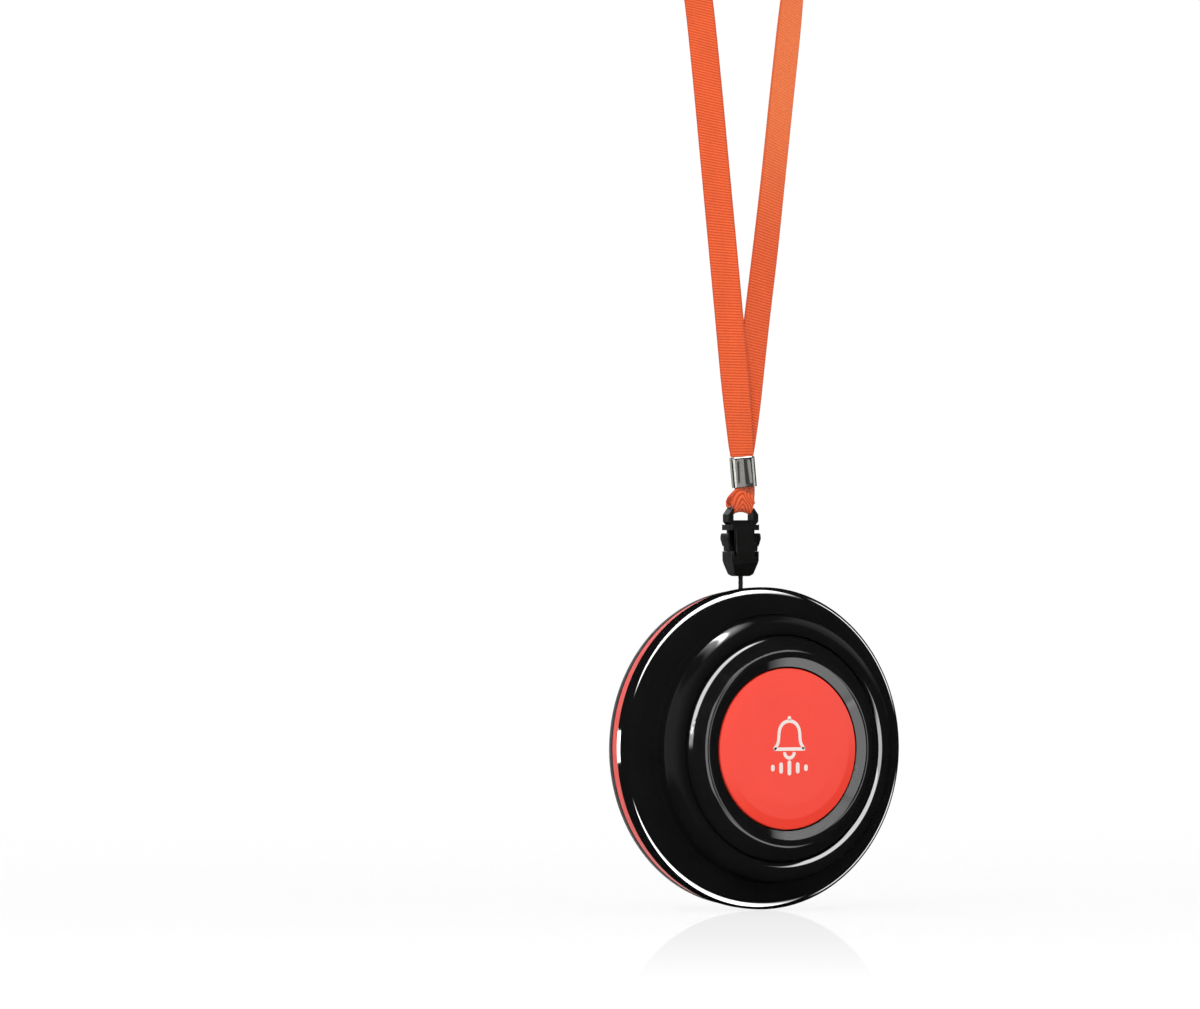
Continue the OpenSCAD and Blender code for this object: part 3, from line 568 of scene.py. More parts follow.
@dataclass(frozen=True)
class Finishes:
    """All finishes of the call button."""

    housing: MouldedPlastic = MouldedPlastic(
        "black_gloss_shell", (0.0072, 0.0072, 0.0075), 0.05, 1.4, 0.0009, 0.12
    )
    bezel: MouldedPlastic = MouldedPlastic(
        "black_gloss_bezel", (0.0078, 0.0078, 0.008), 0.07, 1.4, 0.0009, 0.12
    )
    cover: MouldedPlastic = MouldedPlastic(
        "black_back_cover", linear(30, 31, 31), 0.36, 0.35, 0.004, 0.12, 0.1, 0.45
    )
    cap: MouldedPlastic = MouldedPlastic(
        "red_press_cap", linear(255, 68, 50), 0.2, 0.6, 0.0012, 0.02
    )
    band: MouldedPlastic = MouldedPlastic(
        "red_edge_band", linear(232, 74, 66), 0.24, 0.8, 0.0012, 0.05, 0.06
    )
    buckle: MouldedPlastic = MouldedPlastic(
        "black_buckle", linear(15, 15, 14), 0.34, 0.22, 0.006, 0.2, 0.12
    )
    plunger: MouldedPlastic = MouldedPlastic(
        "cream_plunger", linear(214, 208, 194), 0.4, 0.4, 0.002, 0.03
    )
    rubber: MouldedPlastic = MouldedPlastic(
        "seal_rubber", linear(40, 40, 41), 0.62, 0.2, 0.006, 0.15
    )
    chip: MouldedPlastic = MouldedPlastic("chip_black", linear(30, 30, 32), 0.5, 0.15, 0.006, 0.12)
    lamp: MouldedPlastic = MouldedPlastic("lamp_resin", linear(240, 232, 204), 0.2, 0.5, 0.001, 0.04)
    screw: Metal = Metal("screw_steel", linear(168, 168, 170), 0.28, (1.0, 1.0, 1.0), 0.3, 0.003)
    cell: Metal = Metal("cell_steel", linear(206, 206, 208), 0.24, (1.0, 0.1, 1.0), 0.3, 0.002, 0.12)
    clip: Metal = Metal("spring_strip", linear(208, 200, 184), 0.26, (0.1, 1.0, 1.0), 0.3, 0.003)
    wire: Metal = Metal("tinned_copper", linear(206, 132, 84), 0.3, (1.0, 1.0, 1.0), 0.4, 0.002)
    crimp: Metal = Metal("pressed_steel", linear(202, 200, 194), 0.06, (1.0, 1.0, 0.05), 0.9, 0.0, 0.1)
    strap: Webbing = Webbing()
    tether: BraidedCord = BraidedCord()
    ink: PrintedInk = PrintedInk()
    board: BoardMask = BoardMask()


def make_object(name: str, mesh: bpy.types.Mesh) -> bpy.types.Object:
    """Links a mesh to the scene as an object at the origin.

    Args:
        name: Name of the object.
        mesh: Its mesh.

    Returns:
        The object.
    """
    item = bpy.data.objects.new(name, mesh)
    bpy.context.scene.collection.objects.link(item)
    return item


def make_mesh(
    name: str, points: Iterable[Sequence[float]], faces: Iterable[Sequence[int]], smooth: bool = True
) -> bpy.types.Mesh:
    """Builds a mesh from points and faces, with its faces turned outwards.

    Args:
        name: Name of the mesh.
        points: Vertices in metres.
        faces: Vertex numbers of each face.
        smooth: Whether faces are shaded smooth.

    Returns:
        The mesh.
    """
    mesh = bpy.data.meshes.new(name)
    mesh.from_pydata([tuple(point) for point in points], [], [tuple(face) for face in faces])
    turn_outwards(mesh)
    if smooth:
        mesh.shade_smooth()
    else:
        mesh.shade_flat()
    return mesh


def turn_outwards(mesh: bpy.types.Mesh) -> None:
    """Turns every face of a closed mesh outwards.

    Args:
        mesh: The mesh.
    """
    work = bmesh.new()
    work.from_mesh(mesh)
    bmesh.ops.recalc_face_normals(work, faces=work.faces)
    work.to_mesh(mesh)
    work.free()
    mesh.update()


def whole_faces(source: bpy.types.Mesh, name: str, ceiling: float = math.inf) -> bpy.types.Mesh:
    """Copies a solid's mesh with its points merged and its flat faces whole.

    Args:
        source: Mesh of the solid.
        name: Name of the copy.
        ceiling: Height in metres above which points are left out.

    Returns:
        The copy, shaded smooth.
    """
    merge = 2e-6
    flat_turn = math.radians(0.6)
    work = bmesh.new()
    work.from_mesh(source)
    bmesh.ops.remove_doubles(work, verts=work.verts, dist=merge)
    above = [vertex for vertex in work.verts if vertex.co.z > ceiling]
    bmesh.ops.delete(work, geom=above, context="VERTS")
    bmesh.ops.dissolve_limit(work, angle_limit=flat_turn, verts=work.verts, edges=work.edges, delimit=set())
    mesh = bpy.data.meshes.new(name)
    work.to_mesh(mesh)
    work.free()
    mesh.shade_smooth()
    return mesh


def arc(x: float, y: float, radius: float, start: float, turn: float, steps: int) -> list[Point2]:
    """Gives points along an arc.

    Args:
        x: First coordinate of its middle.
        y: Second coordinate of its middle.
        radius: Radius.
        start: Angle of the first point, in degrees.
        turn: Angle from the first point to the last, in degrees.
        steps: Stretches between the points.

    Returns:
        The points, with both ends.
    """
    angles = [math.radians(start + turn * step / steps) for step in range(steps + 1)]
    return [(x + radius * math.cos(angle), y + radius * math.sin(angle)) for angle in angles]


def rounded(
    corners: Sequence[Sequence[float]], closed: bool = True, edge: float = 0.1, bend: float = 9.0
) -> list[Point2]:
    """Rounds the corners of an outline and adds support points beside each rounding.

    Args:
        corners: Points (x, y) or (x, y, radius).
        closed: Whether the outline closes on itself.
        edge: Radius of a corner that names none.
        bend: Turn between the points of a rounding, in degrees.

    Returns:
        The rounded outline.
    """
    sharpest = 3.0
    straight = math.radians(2.0)
    room = 0.97
    support_least = 0.002
    support_share = 0.02
    support_most = 0.06
    outline: list[Point2] = []
    count = len(corners)
    spots = [Vector(corner[:2]) for corner in corners]
    turns: list[float] = []
    needs: list[float] = []
    for index, corner in enumerate(corners):
        before = spots[index - 1] - spots[index]
        after = spots[(index + 1) % count] - spots[index]
        radius = corner[2] if len(corner) > 2 else edge
        if not closed and index in (0, count - 1):
            radius = 0.0
        turns.append(math.pi - before.angle(after))
        needs.append(radius * math.tan(min(turns[-1], sharpest) / 2.0))
    for index, here in enumerate(spots):
        before = spots[index - 1] - here
        after = spots[(index + 1) % count] - here
        turn = turns[index]
        if turn < straight or needs[index] <= 0.0:
            outline.append((here.x, here.y))
            continue
        reach = min(
            needs[index],
            room * before.length * needs[index] / (needs[index] + needs[index - 1]),
            room * after.length * needs[index] / (needs[index] + needs[(index + 1) % count]),
        )
        radius = reach / math.tan(turn / 2.0)
        start = here + before.normalized() * reach
        bisector = (before.normalized() + after.normalized()).normalized()
        centre = here + bisector * (radius / math.cos(turn / 2.0))
        steps = max(3, math.ceil(math.degrees(turn) / bend))
        sense = 1.0 if before.x * after.y - before.y * after.x < 0.0 else -1.0
        support = min(support_most, support_share * reach + support_least)
        outline.append(tuple(here + before.normalized() * (reach + support)))
        for step in range(steps + 1):
            spin = Matrix.Rotation(sense * turn * step / steps, 2)
            outline.append(tuple(centre + spin @ (start - centre)))
        outline.append(tuple(here + after.normalized() * (reach + support)))
    return outline


class GeometryTree:
    """Builder for one Geometry Nodes tree with named inputs."""

    def __init__(self, name: str) -> None:
        """Starts a tree that takes and gives a geometry.

        Args:
            name: Name of the tree.
        """
        self.tree = bpy.data.node_groups.new(name, "GeometryNodeTree")
        self.keys: dict[str, str] = {}
        self.entry = self.tree.nodes.new("NodeGroupInput")
        self.exit = self.tree.nodes.new("NodeGroupOutput")
        self.tree.interface.new_socket("Geometry", in_out="OUTPUT", socket_type="NodeSocketGeometry")
        self.geometry = self.input("Geometry", "NodeSocketGeometry")

    def input(self, name: str, kind: str) -> bpy.types.NodeSocket:
        """Adds a named input and gives its socket inside the tree.

        Args:
            name: Name of the input.
            kind: Blender's identifier of the socket.

        Returns:
            The socket.
        """
        socket = self.tree.interface.new_socket(name, in_out="INPUT", socket_type=kind)
        self.keys[name] = socket.identifier
        return next(item for item in self.entry.outputs if item.identifier == socket.identifier)

    def add(self, kind: str, links: Optional[dict[Any, Any]] = None, **settings: Any) -> bpy.types.Node:
        """Adds a node.

        Args:
            kind: Blender's identifier of the node.
            links: What each input, by name or number, takes: a socket or a constant.
            **settings: Properties of the node.

        Returns:
            The node.
        """
        node = self.tree.nodes.new(kind)
        for key, value in settings.items():
            setattr(node, key, value)
        for key, value in (links or {}).items():
            if isinstance(value, bpy.types.NodeSocket):
                self.tree.links.new(value, node.inputs[key])
            else:
                node.inputs[key].default_value = value
        return node

    def math(self, operation: str, *values: Any) -> bpy.types.NodeSocket:
        """Adds a Math node and gives its result."""
        return self.add("ShaderNodeMath", dict(enumerate(values)), operation=operation).outputs[0]

    def named(self, name: str) -> bpy.types.NodeSocket:
        """Reads a number that the mesh carries under a name."""
        return self.add("GeometryNodeInputNamedAttribute", {"Name": name}).outputs["Attribute"]

    def close(self, geometry: bpy.types.NodeSocket) -> None:
        """Ends the tree in Realize Instances and Set Material.

        Args:
            geometry: What the tree gives.
        """
        material = self.input("Material", "NodeSocketMaterial")
        real = self.add("GeometryNodeRealizeInstances", {"Geometry": geometry})
        dressed = self.add(
            "GeometryNodeSetMaterial", {"Geometry": real.outputs["Geometry"], "Material": material}
        )
        self.tree.links.new(dressed.outputs["Geometry"], self.exit.inputs[0])

    def run(self, mesh: bpy.types.Mesh, name: str, **values: Any) -> bpy.types.Object:
        """Runs the tree on a mesh and turns the result into a plain object.

        Args:
            mesh: Mesh that enters the tree.
            name: Name of the piece.
            **values: Named inputs, with _ for a space.

        Returns:
            The finished object, with no modifier left on it.
        """
        source = make_object(name + "_source", mesh)
        modifier = source.modifiers.new(self.tree.name, "NODES")
        modifier.node_group = self.tree
        for key, value in values.items():
            modifier[self.keys[key.replace("_", " ")]] = value
        graph = bpy.context.evaluated_depsgraph_get()
        result = bpy.data.meshes.new_from_object(source.evaluated_get(graph))
        result.name = name
        bpy.data.objects.remove(source)
        return make_object(name, result)


class LatheTree(GeometryTree):
    """Turns a section round the pendant's axis, which runs along -Y."""

    CORE = 1.0 * MM
    MERGE = 1e-7
    STEPS = 224
    SHARP = math.radians(50.0)

    def __init__(self) -> None:
        """Builds the tree."""
        super().__init__("turned_part")
        steps = self.input("Steps", "NodeSocketInt")
        centre = self.input("Centre", "NodeSocketVector")
        section = self.add("GeometryNodeMeshToCurve", {"Mesh": self.geometry})
        circle = self.add("GeometryNodeCurvePrimitiveCircle", {"Resolution": steps, "Radius": self.CORE})
        swept = self.add(
            "GeometryNodeCurveToMesh",
            {"Curve": circle.outputs["Curve"], "Profile Curve": section.outputs["Curve"]},
        )
        turned = self.add(
            "GeometryNodeTransform",
            {
                "Geometry": swept.outputs["Mesh"],
                "Translation": centre,
                "Rotation": (math.radians(90.0), 0.0, 0.0),
            },
        )
        merged = self.add(
            "GeometryNodeMergeByDistance",
            {"Geometry": turned.outputs["Geometry"], "Distance": self.MERGE},
        )
        smooth = self.add("GeometryNodeSetShadeSmooth", {"Geometry": merged.outputs["Geometry"]})
        self.close(smooth.outputs["Geometry"])

    def turn(
        self, name: str, section: Sequence[Point2], closed: bool, centre: Vector, finish: bpy.types.Material
    ) -> bpy.types.Object:
        """Turns one section.

        Args:
            name: Name of the piece.
            section: Radius and depth of each point, in millimetres.
            closed: Whether the section closes on itself, or starts and ends on the axis.
            centre: Middle of the pendant's back plane.
            finish: Material.

        Returns:
            The turned piece.
        """
        wire = bpy.data.meshes.new(name + "_section")
        points = [(radius * MM - self.CORE, -depth * MM, 0.0) for radius, depth in section]
        edges = [(index, index + 1) for index in range(len(points) - 1)]
        if closed:
            edges.append((len(points) - 1, 0))
        wire.from_pydata(points, edges, [])
        piece = self.run(wire, name, Steps=self.STEPS, Centre=tuple(centre), Material=finish)
        turn_outwards(piece.data)
        piece.data.set_sharp_from_angle(angle=self.SHARP)
        return piece


class RingTree(GeometryTree):
    """Repeats a shape round the pendant's axis."""

    def __init__(self) -> None:
        """Builds the tree."""
        super().__init__("ring_of_parts")
        count = self.input("Count", "NodeSocketInt")
        centre = self.input("Centre", "NodeSocketVector")
        back = self.add("ShaderNodeVectorMath", {0: centre, 1: (-1.0, -1.0, -1.0)}, operation="MULTIPLY")
        home = self.add(
            "GeometryNodeTransform", {"Geometry": self.geometry, "Translation": back.outputs["Vector"]}
        )
        spots = self.add(
            "GeometryNodeMeshLine", {"Count": count, "Start Location": centre, "Offset": (0.0, 0.0, 0.0)}
        )
        index = self.add("GeometryNodeInputIndex").outputs["Index"]
        share = self.math("DIVIDE", self.math("MULTIPLY", index, 2.0 * math.pi), count)
        turn = self.add("ShaderNodeCombineXYZ", {"Y": share})
        copies = self.add(
            "GeometryNodeInstanceOnPoints",
            {
                "Points": spots.outputs["Mesh"],
                "Instance": home.outputs["Geometry"],
                "Rotation": turn.outputs["Vector"],
            },
        )
        self.close(copies.outputs["Instances"])


class ReliefTree(GeometryTree):
    """Raises crossed ribs on a band or cord, from its weave, cross and fade attributes."""

    def __init__(self) -> None:
        """Builds the tree."""
        super().__init__("woven_relief")
        pitch = self.input("Pitch", "NodeSocketFloat")
        depth = self.input("Depth", "NodeSocketFloat")
        waves = []
        for name in ("weave", "cross"):
            turns = self.math("DIVIDE", self.named(name), pitch)
            waves.append(self.math("SINE", self.math("MULTIPLY", turns, 2.0 * math.pi)))
        top = self.math("MAXIMUM", *waves)
        rise = self.math("MULTIPLY", self.math("MULTIPLY", top, depth), self.named("fade"))
        normal = self.add("GeometryNodeInputNormal").outputs["Normal"]
        offset = self.add("ShaderNodeVectorMath", {0: normal, "Scale": rise}, operation="SCALE")
        moved = self.add(
            "GeometryNodeSetPosition", {"Geometry": self.geometry, "Offset": offset.outputs["Vector"]}
        )
        smooth = self.add("GeometryNodeSetShadeSmooth", {"Geometry": moved.outputs["Geometry"]})
        self.close(smooth.outputs["Geometry"])


class Workshop:
    """Frame, trees and materials that every sub-assembly uses."""

    def __init__(self, frame: dict[str, Any]) -> None:
        """Builds the shared trees.

        Args:
            frame: The loaded frame.
        """
        self.nodes: dict[str, bpy.types.Object] = frame["nodes"]
        self.finishes = Finishes()
        self.materials: dict[str, bpy.types.Material] = {}
        self.lathe = LatheTree()
        self.ring = RingTree()
        self.relief = ReliefTree()
        self.made: list[bpy.types.Object] = []

    def material(self, finish: str) -> bpy.types.Material:
        """Gives a finish's material, built once."""
        if finish not in self.materials:
            self.materials[finish] = getattr(self.finishes, finish).material()
        return self.materials[finish]

    def settle(self, piece: bpy.types.Object, body: Body, slot: Slot, *nodes: str) -> None:
        """Puts a finished piece on its body.

        Args:
            piece: The piece.
            body: Body that it rides on.
            slot: Record's material slot; not used.
            *nodes: CAD nodes that it stands for.
        """
        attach(piece, body.value)
        if nodes:
            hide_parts(*nodes)
        self.made.append(piece)
        log.info("%s rides on %s", piece.name, body.value)

    def dress(self, node: str, finish: str) -> None:
        """Gives a CAD node that stays its material.

        Args:
            node: Node that stays.
            finish: Finish to wear.
        """
        item = self.nodes[node]
        item.data.materials.clear()
        item.data.materials.append(self.material(finish))
        log.info("%s keeps its solid, in %s", node, finish)

    def copy(self, node: str, name: str, finish: str) -> bpy.types.Object:
        """Copies a CAD node as a merged mesh with whole faces.

        Args:
            node: Node to copy.
            name: Name of the piece.
            finish: Finish to wear.

        Returns:
            The new object.
        """
        mesh = whole_faces(self.nodes[node].data, name)
        mesh.materials.append(self.material(finish))
        return make_object(name, mesh)

    def weave(
        self, name: str, rings: Sequence[Sequence[Vector]], data: dict[str, list[float]], pitch: float,
        depth: float, finish: str
    ) -> bpy.types.Object:
        """Builds a woven band or cord with its relief.

        Args:
            name: Name of the piece.
            rings: Points of each section.
            data: Numbers that the mesh carries, one per point, under their names.
            pitch: Wavelength of the relief, in the units of its weave.
            depth: Height of the relief, in millimetres.
            finish: Finish to wear.

        Returns:
            The piece.
        """
        mesh = make_mesh(name + "_plain", *tube(rings))
        for key, values in data.items():
            attribute(mesh, key, values)
        return self.relief.run(mesh, name, Pitch=pitch, Depth=depth * MM, Material=self.material(finish))

    @staticmethod
    def soften(piece: bpy.types.Object, width: float) -> None:
        """Rounds a piece's edges.

        Args:
            piece: The piece.
            width: Width of the rounding, in millimetres.
        """
        bevel = piece.modifiers.new("edges", "BEVEL")
        bevel.width = width * MM
        bevel.segments = 2
        bevel.limit_method = "ANGLE"
        bevel.angle_limit = math.radians(32.0)
        bevel.miter_outer = "MITER_ARC"
        weighted = piece.modifiers.new("shading", "WEIGHTED_NORMAL")
        weighted.keep_sharp = True


def attribute(mesh: bpy.types.Mesh, name: str, values: Sequence[float]) -> None:
    """Stores one number per vertex under a name."""
    mesh.attributes.new(name, "FLOAT", "POINT").data.foreach_set("value", list(values))


def tube(
    rings: Sequence[Sequence[Vector]], looped: bool = False
) -> tuple[list[Vector], list[tuple[int, ...]]]:
    """Joins rings of points into a closed tube.

    Args:
        rings: Rings with the same number of points.
        looped: Whether the last ring joins the first.

    Returns:
        Points and faces, with flat ends if the tube isn't looped.
    """
    sides = len(rings[0])
    points = [point for ring in rings for point in ring]
    faces: list[tuple[int, ...]] = []
    for row in range(len(rings) if looped else len(rings) - 1):
        following = (row + 1) % len(rings)
        for side in range(sides):
            beside = (side + 1) % sides
            first = row * sides
            second = following * sides
            faces.append((first + side, first + beside, second + beside, second + side))
    if not looped:
        last = (len(rings) - 1) * sides
        faces.append(tuple(reversed(range(sides))))
        faces.append(tuple(range(last, last + sides)))
    return points, faces


def smoothstep(value: float, start: float, end: float) -> float:
    """Gives 0 before start, 1 after end and a soft rise between."""
    share = min(1.0, max(0.0, (value - start) / (end - start)))
    return share * share * (3.0 - 2.0 * share)


def side_and_up(
    spots: Sequence[Vector], index: int, reach: int, heading: Vector
) -> tuple[Vector, Vector]:
    """Gives the directions of a line's section at one of its points.

    Args:
        spots: Points of the line.
        index: Number of the point.
        reach: Points each way that the line's own direction is taken over.
        heading: Rough direction to the side.

    Returns:
        The directions to the side and up, square to the line.
    """
    last = len(spots) - 1
    along = (spots[min(index + reach, last)] - spots[max(index - reach, 0)]).normalized()
    side = (heading - along * heading.dot(along)).normalized()
    return side, along.cross(side)


@dataclass
class Strap:
    """Woven neck strap: both runs, the turn at the neck and the loop round the buckle's bar.

    A row of its route has a place, the turn of its width, its share of the full width and its share of
    the arch of the buckle's bar.
    """

    width: float = 5.6
    gathered: float = 3.9
    thickness: float = 0.7
    edge: float = 0.25
    turn: float = -32.0
    bar_arch: float = 3.852
    step: float = 0.165
    pitch: float = RIB_PITCH
    rib_depth: float = 0.026
    tooth: float = 0.05
    tooth_pitch: float = 0.7
    rim_start: float = 0.86
    rim_flat: float = 0.8
    slant: float = 0.12
    slant_gain: float = 0.26
    slant_span: Span = (-95.0, -30.0)
    # Painted light: one run is painted paler, fading out over these rows round the neck and below these
    # heights, with its relief flattened there.
    lit_run_rows: float = 60.0
    lit_run_span: Span = (-82.0, -40.0)
    lit_run_flat: float = 0.6
    loop_span: Span = (-123.2, -122.2)
    loop_stretch: float = 0.42
    chevron: float = 0.6
    chevron_middle: float = 0.3
    aim_reach: float = 0.3
    face_points: int = 13
    parts: int = 48
    path_stride: int = 6
    route: tuple[tuple[float, ...], ...] = (
        (0.4, 0.4, -118.9, 17, 0, 0),
        (0.12, 0.36, -116.3, 17, 0.08, 0),
        (0.1, 0.36, -115.9, 17, 0.4, 0),
        (0.3, 0.45, -114.8, 17, 0.6, 0),
        (0.65, 0.6, -112, 18, 0.72, 0),
        (1.4, 0.9, -105, 21, 1, 0),
        (3.1, 1, -90, 26, 1, 0),
        (4.9, 1, -75, 28, 1, 0),
        (6.55, 1, -60, 32, 1, 0),
        (8.1, 1, -45, 32, 1, 0),
        (9.7, 1, -30, 34, 1, 0),
        (10.6, 0.7, -21, 46, 1, 0),
        (11, 0.3, -15, 70, 1, 0),
        (10.6, 0, -10.2, 86, 1, 0),
        (9.2, 0, -5, 90, 1, 0),
        (5.3, 0, -1.1, 90, 1, 0),
        (0, 0, 0.35, 90, 1, 0),
        (-5.3, 0, -1.1, 90, 1, 0),
        (-9.2, 0, -5, 90, 1, 0),
        (-10.6, 0, -10.2, 96, 1, 0),
        (-10.2, -0.2, -15, 124, 1, 0),
        (-9.2, -0.4, -20.5, 162, 1, 0),
        (-8.15, -0.5, -27, 178, 1, 0),
        (-6.6, -0.5, -42, 180, 1, 0),
        (-5.2, -0.5, -57, 180, 1, 0),
        (-3.8, -0.5, -72, 180, 1, 0),
        (-2.4, -0.5, -87, 180, 1, 0),
        (-1.1, -0.5, -101, 184, 1, 0),
        (-0.1, -0.5, -112, 192, 0.72, 0),
        (0.2, -0.45, -114.8, 195, 0.6, 0),
        (0.35, -0.4, -115.9, 197, 0.4, 0),
        (0.37, -0.4, -116.3, 197, 0.08, 0),
        (0.6, -0.4, -119.1, 197, 0, 0),
        (0.88, -0.42, -122.1, 198, 0, 0),
        (0.92, -0.5, -123.05, 199, 0, 0),
        (0.6, -0.88, -123.9, 205, 0.6, 0.3),
        (0.5, -1.1, -124.7, 209, 0.75, 0.7),
        (0.55, -0.92, -125.6, 212, 0.3, 1),
        (0.42, -0.7, -126.3, 212, 0.15, 1),
        (0, 0, -126.75, 212, 0.15, 1),
        (-0.42, 0.7, -126.3, 212, 0.15, 1),
        (-0.6, 0.94, -125.6, 212, 0.3, 1),
        (-0.75, 1.05, -124.7, 209, 0.6, 0.7),
        (-0.1, 0.85, -123.9, 205, 0.4, 0.3),
        (0.68, 0.5, -123.05, 199, 0, 0),
        (0.7, 0.44, -122.1, 198, 0, 0),
        (0.4, 0.4, -119.3, 197, 0, 0),
    )

    @staticmethod
    def between(a: float, b: float, c: float, d: float, t: float) -> float:
        """Interpolates smoothly from b to c."""
        square = (2.0 * a - 5.0 * b + 4.0 * c - d) * t * t
        return 0.5 * (2.0 * b + (c - a) * t + square + (3.0 * b - a - 3.0 * c + d) * t * t * t)

    def rows(self) -> list[list[float]]:
        """Gives the route's rows at even steps along the strap."""
        last = len(self.route) - 1
        fine: list[list[float]] = []
        for index in range(last):
            near = [self.route[min(max(index + shift, 0), last)] for shift in (-1, 0, 1, 2)]
            for part in range(self.parts):
                fine.append([self.between(*column, part / self.parts) for column in zip(*near)])
        fine.append(list(self.route[last]))
        marks = [0.0]
        for before, after in zip(fine, fine[1:]):
            marks.append(marks[-1] + math.dist(before[:3], after[:3]))
        count = round(marks[-1] / self.step)
        even: list[list[float]] = []
        cursor = 0
        for number in range(count + 1):
            mark = marks[-1] * number / count
            while cursor < len(marks) - 2 and marks[cursor + 1] < mark:
                cursor += 1
            share = (mark - marks[cursor]) / max(marks[cursor + 1] - marks[cursor], 1e-9)
            even.append([a + (b - a) * share for a, b in zip(fine[cursor], fine[cursor + 1])])
        return even

    def section(self, width: float) -> list[Point2]:
        """Gives the strap's section: flat faces and rounded selvedges.

        Args:
            width: Width of the strap there.

        Returns:
            Points across and up.
        """
        half = width / 2.0
        flat = half - self.edge
        thick = self.thickness / 2.0
        face = [-flat + 2.0 * flat * k / (self.face_points - 1) for k in range(self.face_points)]
        bend = [math.radians(angle) for angle in (60.0, 30.0, 0.0, -30.0, -60.0)]
        points = [(x, thick) for x in face]
        points += [(flat + self.edge * math.cos(a), thick * math.sin(a)) for a in bend]
        points += [(-x, -thick) for x in face]
        points += [(-flat - self.edge * math.cos(a), -thick * math.sin(a)) for a in bend]
        return points

    def build(self, shop: Workshop) -> None:
        """Args:
            shop: Shared frame, trees and materials.
        """
        rows = self.rows()
        spots = [Vector(row[:3]) for row in rows]
        swing = Matrix.Rotation(math.radians(self.turn), 3, "Z")
        rings: list[list[Vector]] = []
        data: dict[str, list[float]] = {key: [] for key in ("weave", "cross", "fade", "edge", "lit_run", "loop")}
        reach = max(1, round(self.aim_reach / self.step))
        top = max(range(len(rows)), key=lambda index: rows[index][2])
        for index, (_, _, height, turn, spread, arch) in enumerate(rows):
            heading = Vector((math.cos(math.radians(turn)), math.sin(math.radians(turn)), 0.0))
            side, up = side_and_up(spots, index, reach, heading)
            width = self.gathered + spread * (self.width - self.gathered)
            distance = index * self.step
            # painted light: marks the run before the neck to be painted paler, more towards its top, and
            # flattens its relief there
            lit_run = 1.0 - smoothstep(index, top - self.lit_run_rows, top + self.lit_run_rows)
            lit_run *= smoothstep(height, *self.lit_run_span)
            loop = 1.0 - smoothstep(height, *self.loop_span)
            relief_left = 1.0 - self.lit_run_flat * lit_run
            tooth = self.tooth * math.sin(2.0 * math.pi * distance / self.tooth_pitch) * relief_left
            slant = self.slant + self.slant_gain * smoothstep(height, *self.slant_span)
            ring: list[Vector] = []
            for x, y in self.section(width):
                share = x / (width / 2.0)
                rim = smoothstep(abs(share), self.rim_start, 1.0)
                drop = arch * (self.bar_arch - math.sqrt(max(self.bar_arch**2 - x * x, 0.0)))
                across = x + math.copysign(tooth * rim, x)
                point = spots[index] + side * across + up * y - Vector((0.0, 0.0, drop))
                ring.append(swing @ point * MM)
                weave = distance * (1.0 - self.loop_stretch * loop) + slant * x
                weave -= self.chevron * loop * abs(x - self.chevron_middle)
                fade = relief_left * (1.0 - self.rim_flat * rim)
                for key, value in zip(data, (weave * MM, weave * MM, fade, share, lit_run, loop)):
                    data[key].append(value)
            rings.append(ring)
        piece = shop.weave("neck_strap_web", rings, data, self.pitch * MM, self.rib_depth, "strap")
        shop.settle(piece, Body.LANYARD, Slot.STRAP_WEB, "neck_strap")


@dataclass
class Tether:
    """Thin braided cord between the buckle and the pendant's bar."""

    diameter: float = 0.85
    top: float = -137.85
    eye_height: float = -145.9
    eye_radius: float = 1.125
    eye_turn: float = 330.0
    eye_pitch: float = 1.0
    step: float = 0.06
    sides: int = 24
    strands: int = 4
    lay: float = 1.1
    relief: float = 0.035
    aim_reach: int = 2

    def path(self) -> list[Vector]:
        """Gives the cord's centreline, straight down and then round the bar."""
        straight = round((self.top - self.eye_height) / self.step)
        drop = (self.eye_height - self.top) / straight
        spots = [Vector((0.0, 0.0, self.top + drop * k)) for k in range(straight)]
        turns = round(math.radians(self.eye_turn) * self.eye_radius / self.step)
        for k in range(turns + 1):
            angle = math.radians(self.eye_turn * k / turns)
            spots.append(
                Vector((
                    self.eye_pitch * math.degrees(angle) / 360.0,
                    -self.eye_radius + self.eye_radius * math.cos(angle),
                    self.eye_height - self.eye_radius * math.sin(angle),
                ))
            )
        return spots

    def build(self, shop: Workshop) -> None:
        """Builds the braided cord.

        Args:
            shop: Shared frame, trees and materials.
        """
        spots = self.path()
        radius = self.diameter / 2.0
        rings: list[list[Vector]] = []
        data: dict[str, list[float]] = {key: [] for key in ("weave", "cross", "fade", "strand")}
        for index, spot in enumerate(spots):
            side, up = side_and_up(spots, index, self.aim_reach, Vector((1.0, 0.0, 0.0)))
            run = index * self.step / self.lay
            ring: list[Vector] = []
            for number in range(self.sides):
                share = number / self.sides
                angle = 2.0 * math.pi * share
                ring.append((spot + (side * math.cos(angle) + up * math.sin(angle)) * radius) * MM)
                weave = self.strands * share + run
                cross = self.strands * share - run
                crown = max(math.sin(2.0 * math.pi * weave), math.sin(2.0 * math.pi * cross))
                for key, value in zip(data, (weave, cross, 1.0, 0.5 + 0.5 * crown)):
                    data[key].append(value)
            rings.append(ring)
        piece = shop.weave("tether_braid", rings, data, 1.0, self.relief, "tether")
        shop.settle(piece, Body.TETHER, Slot.TETHER_BRAID, "tether_cord")


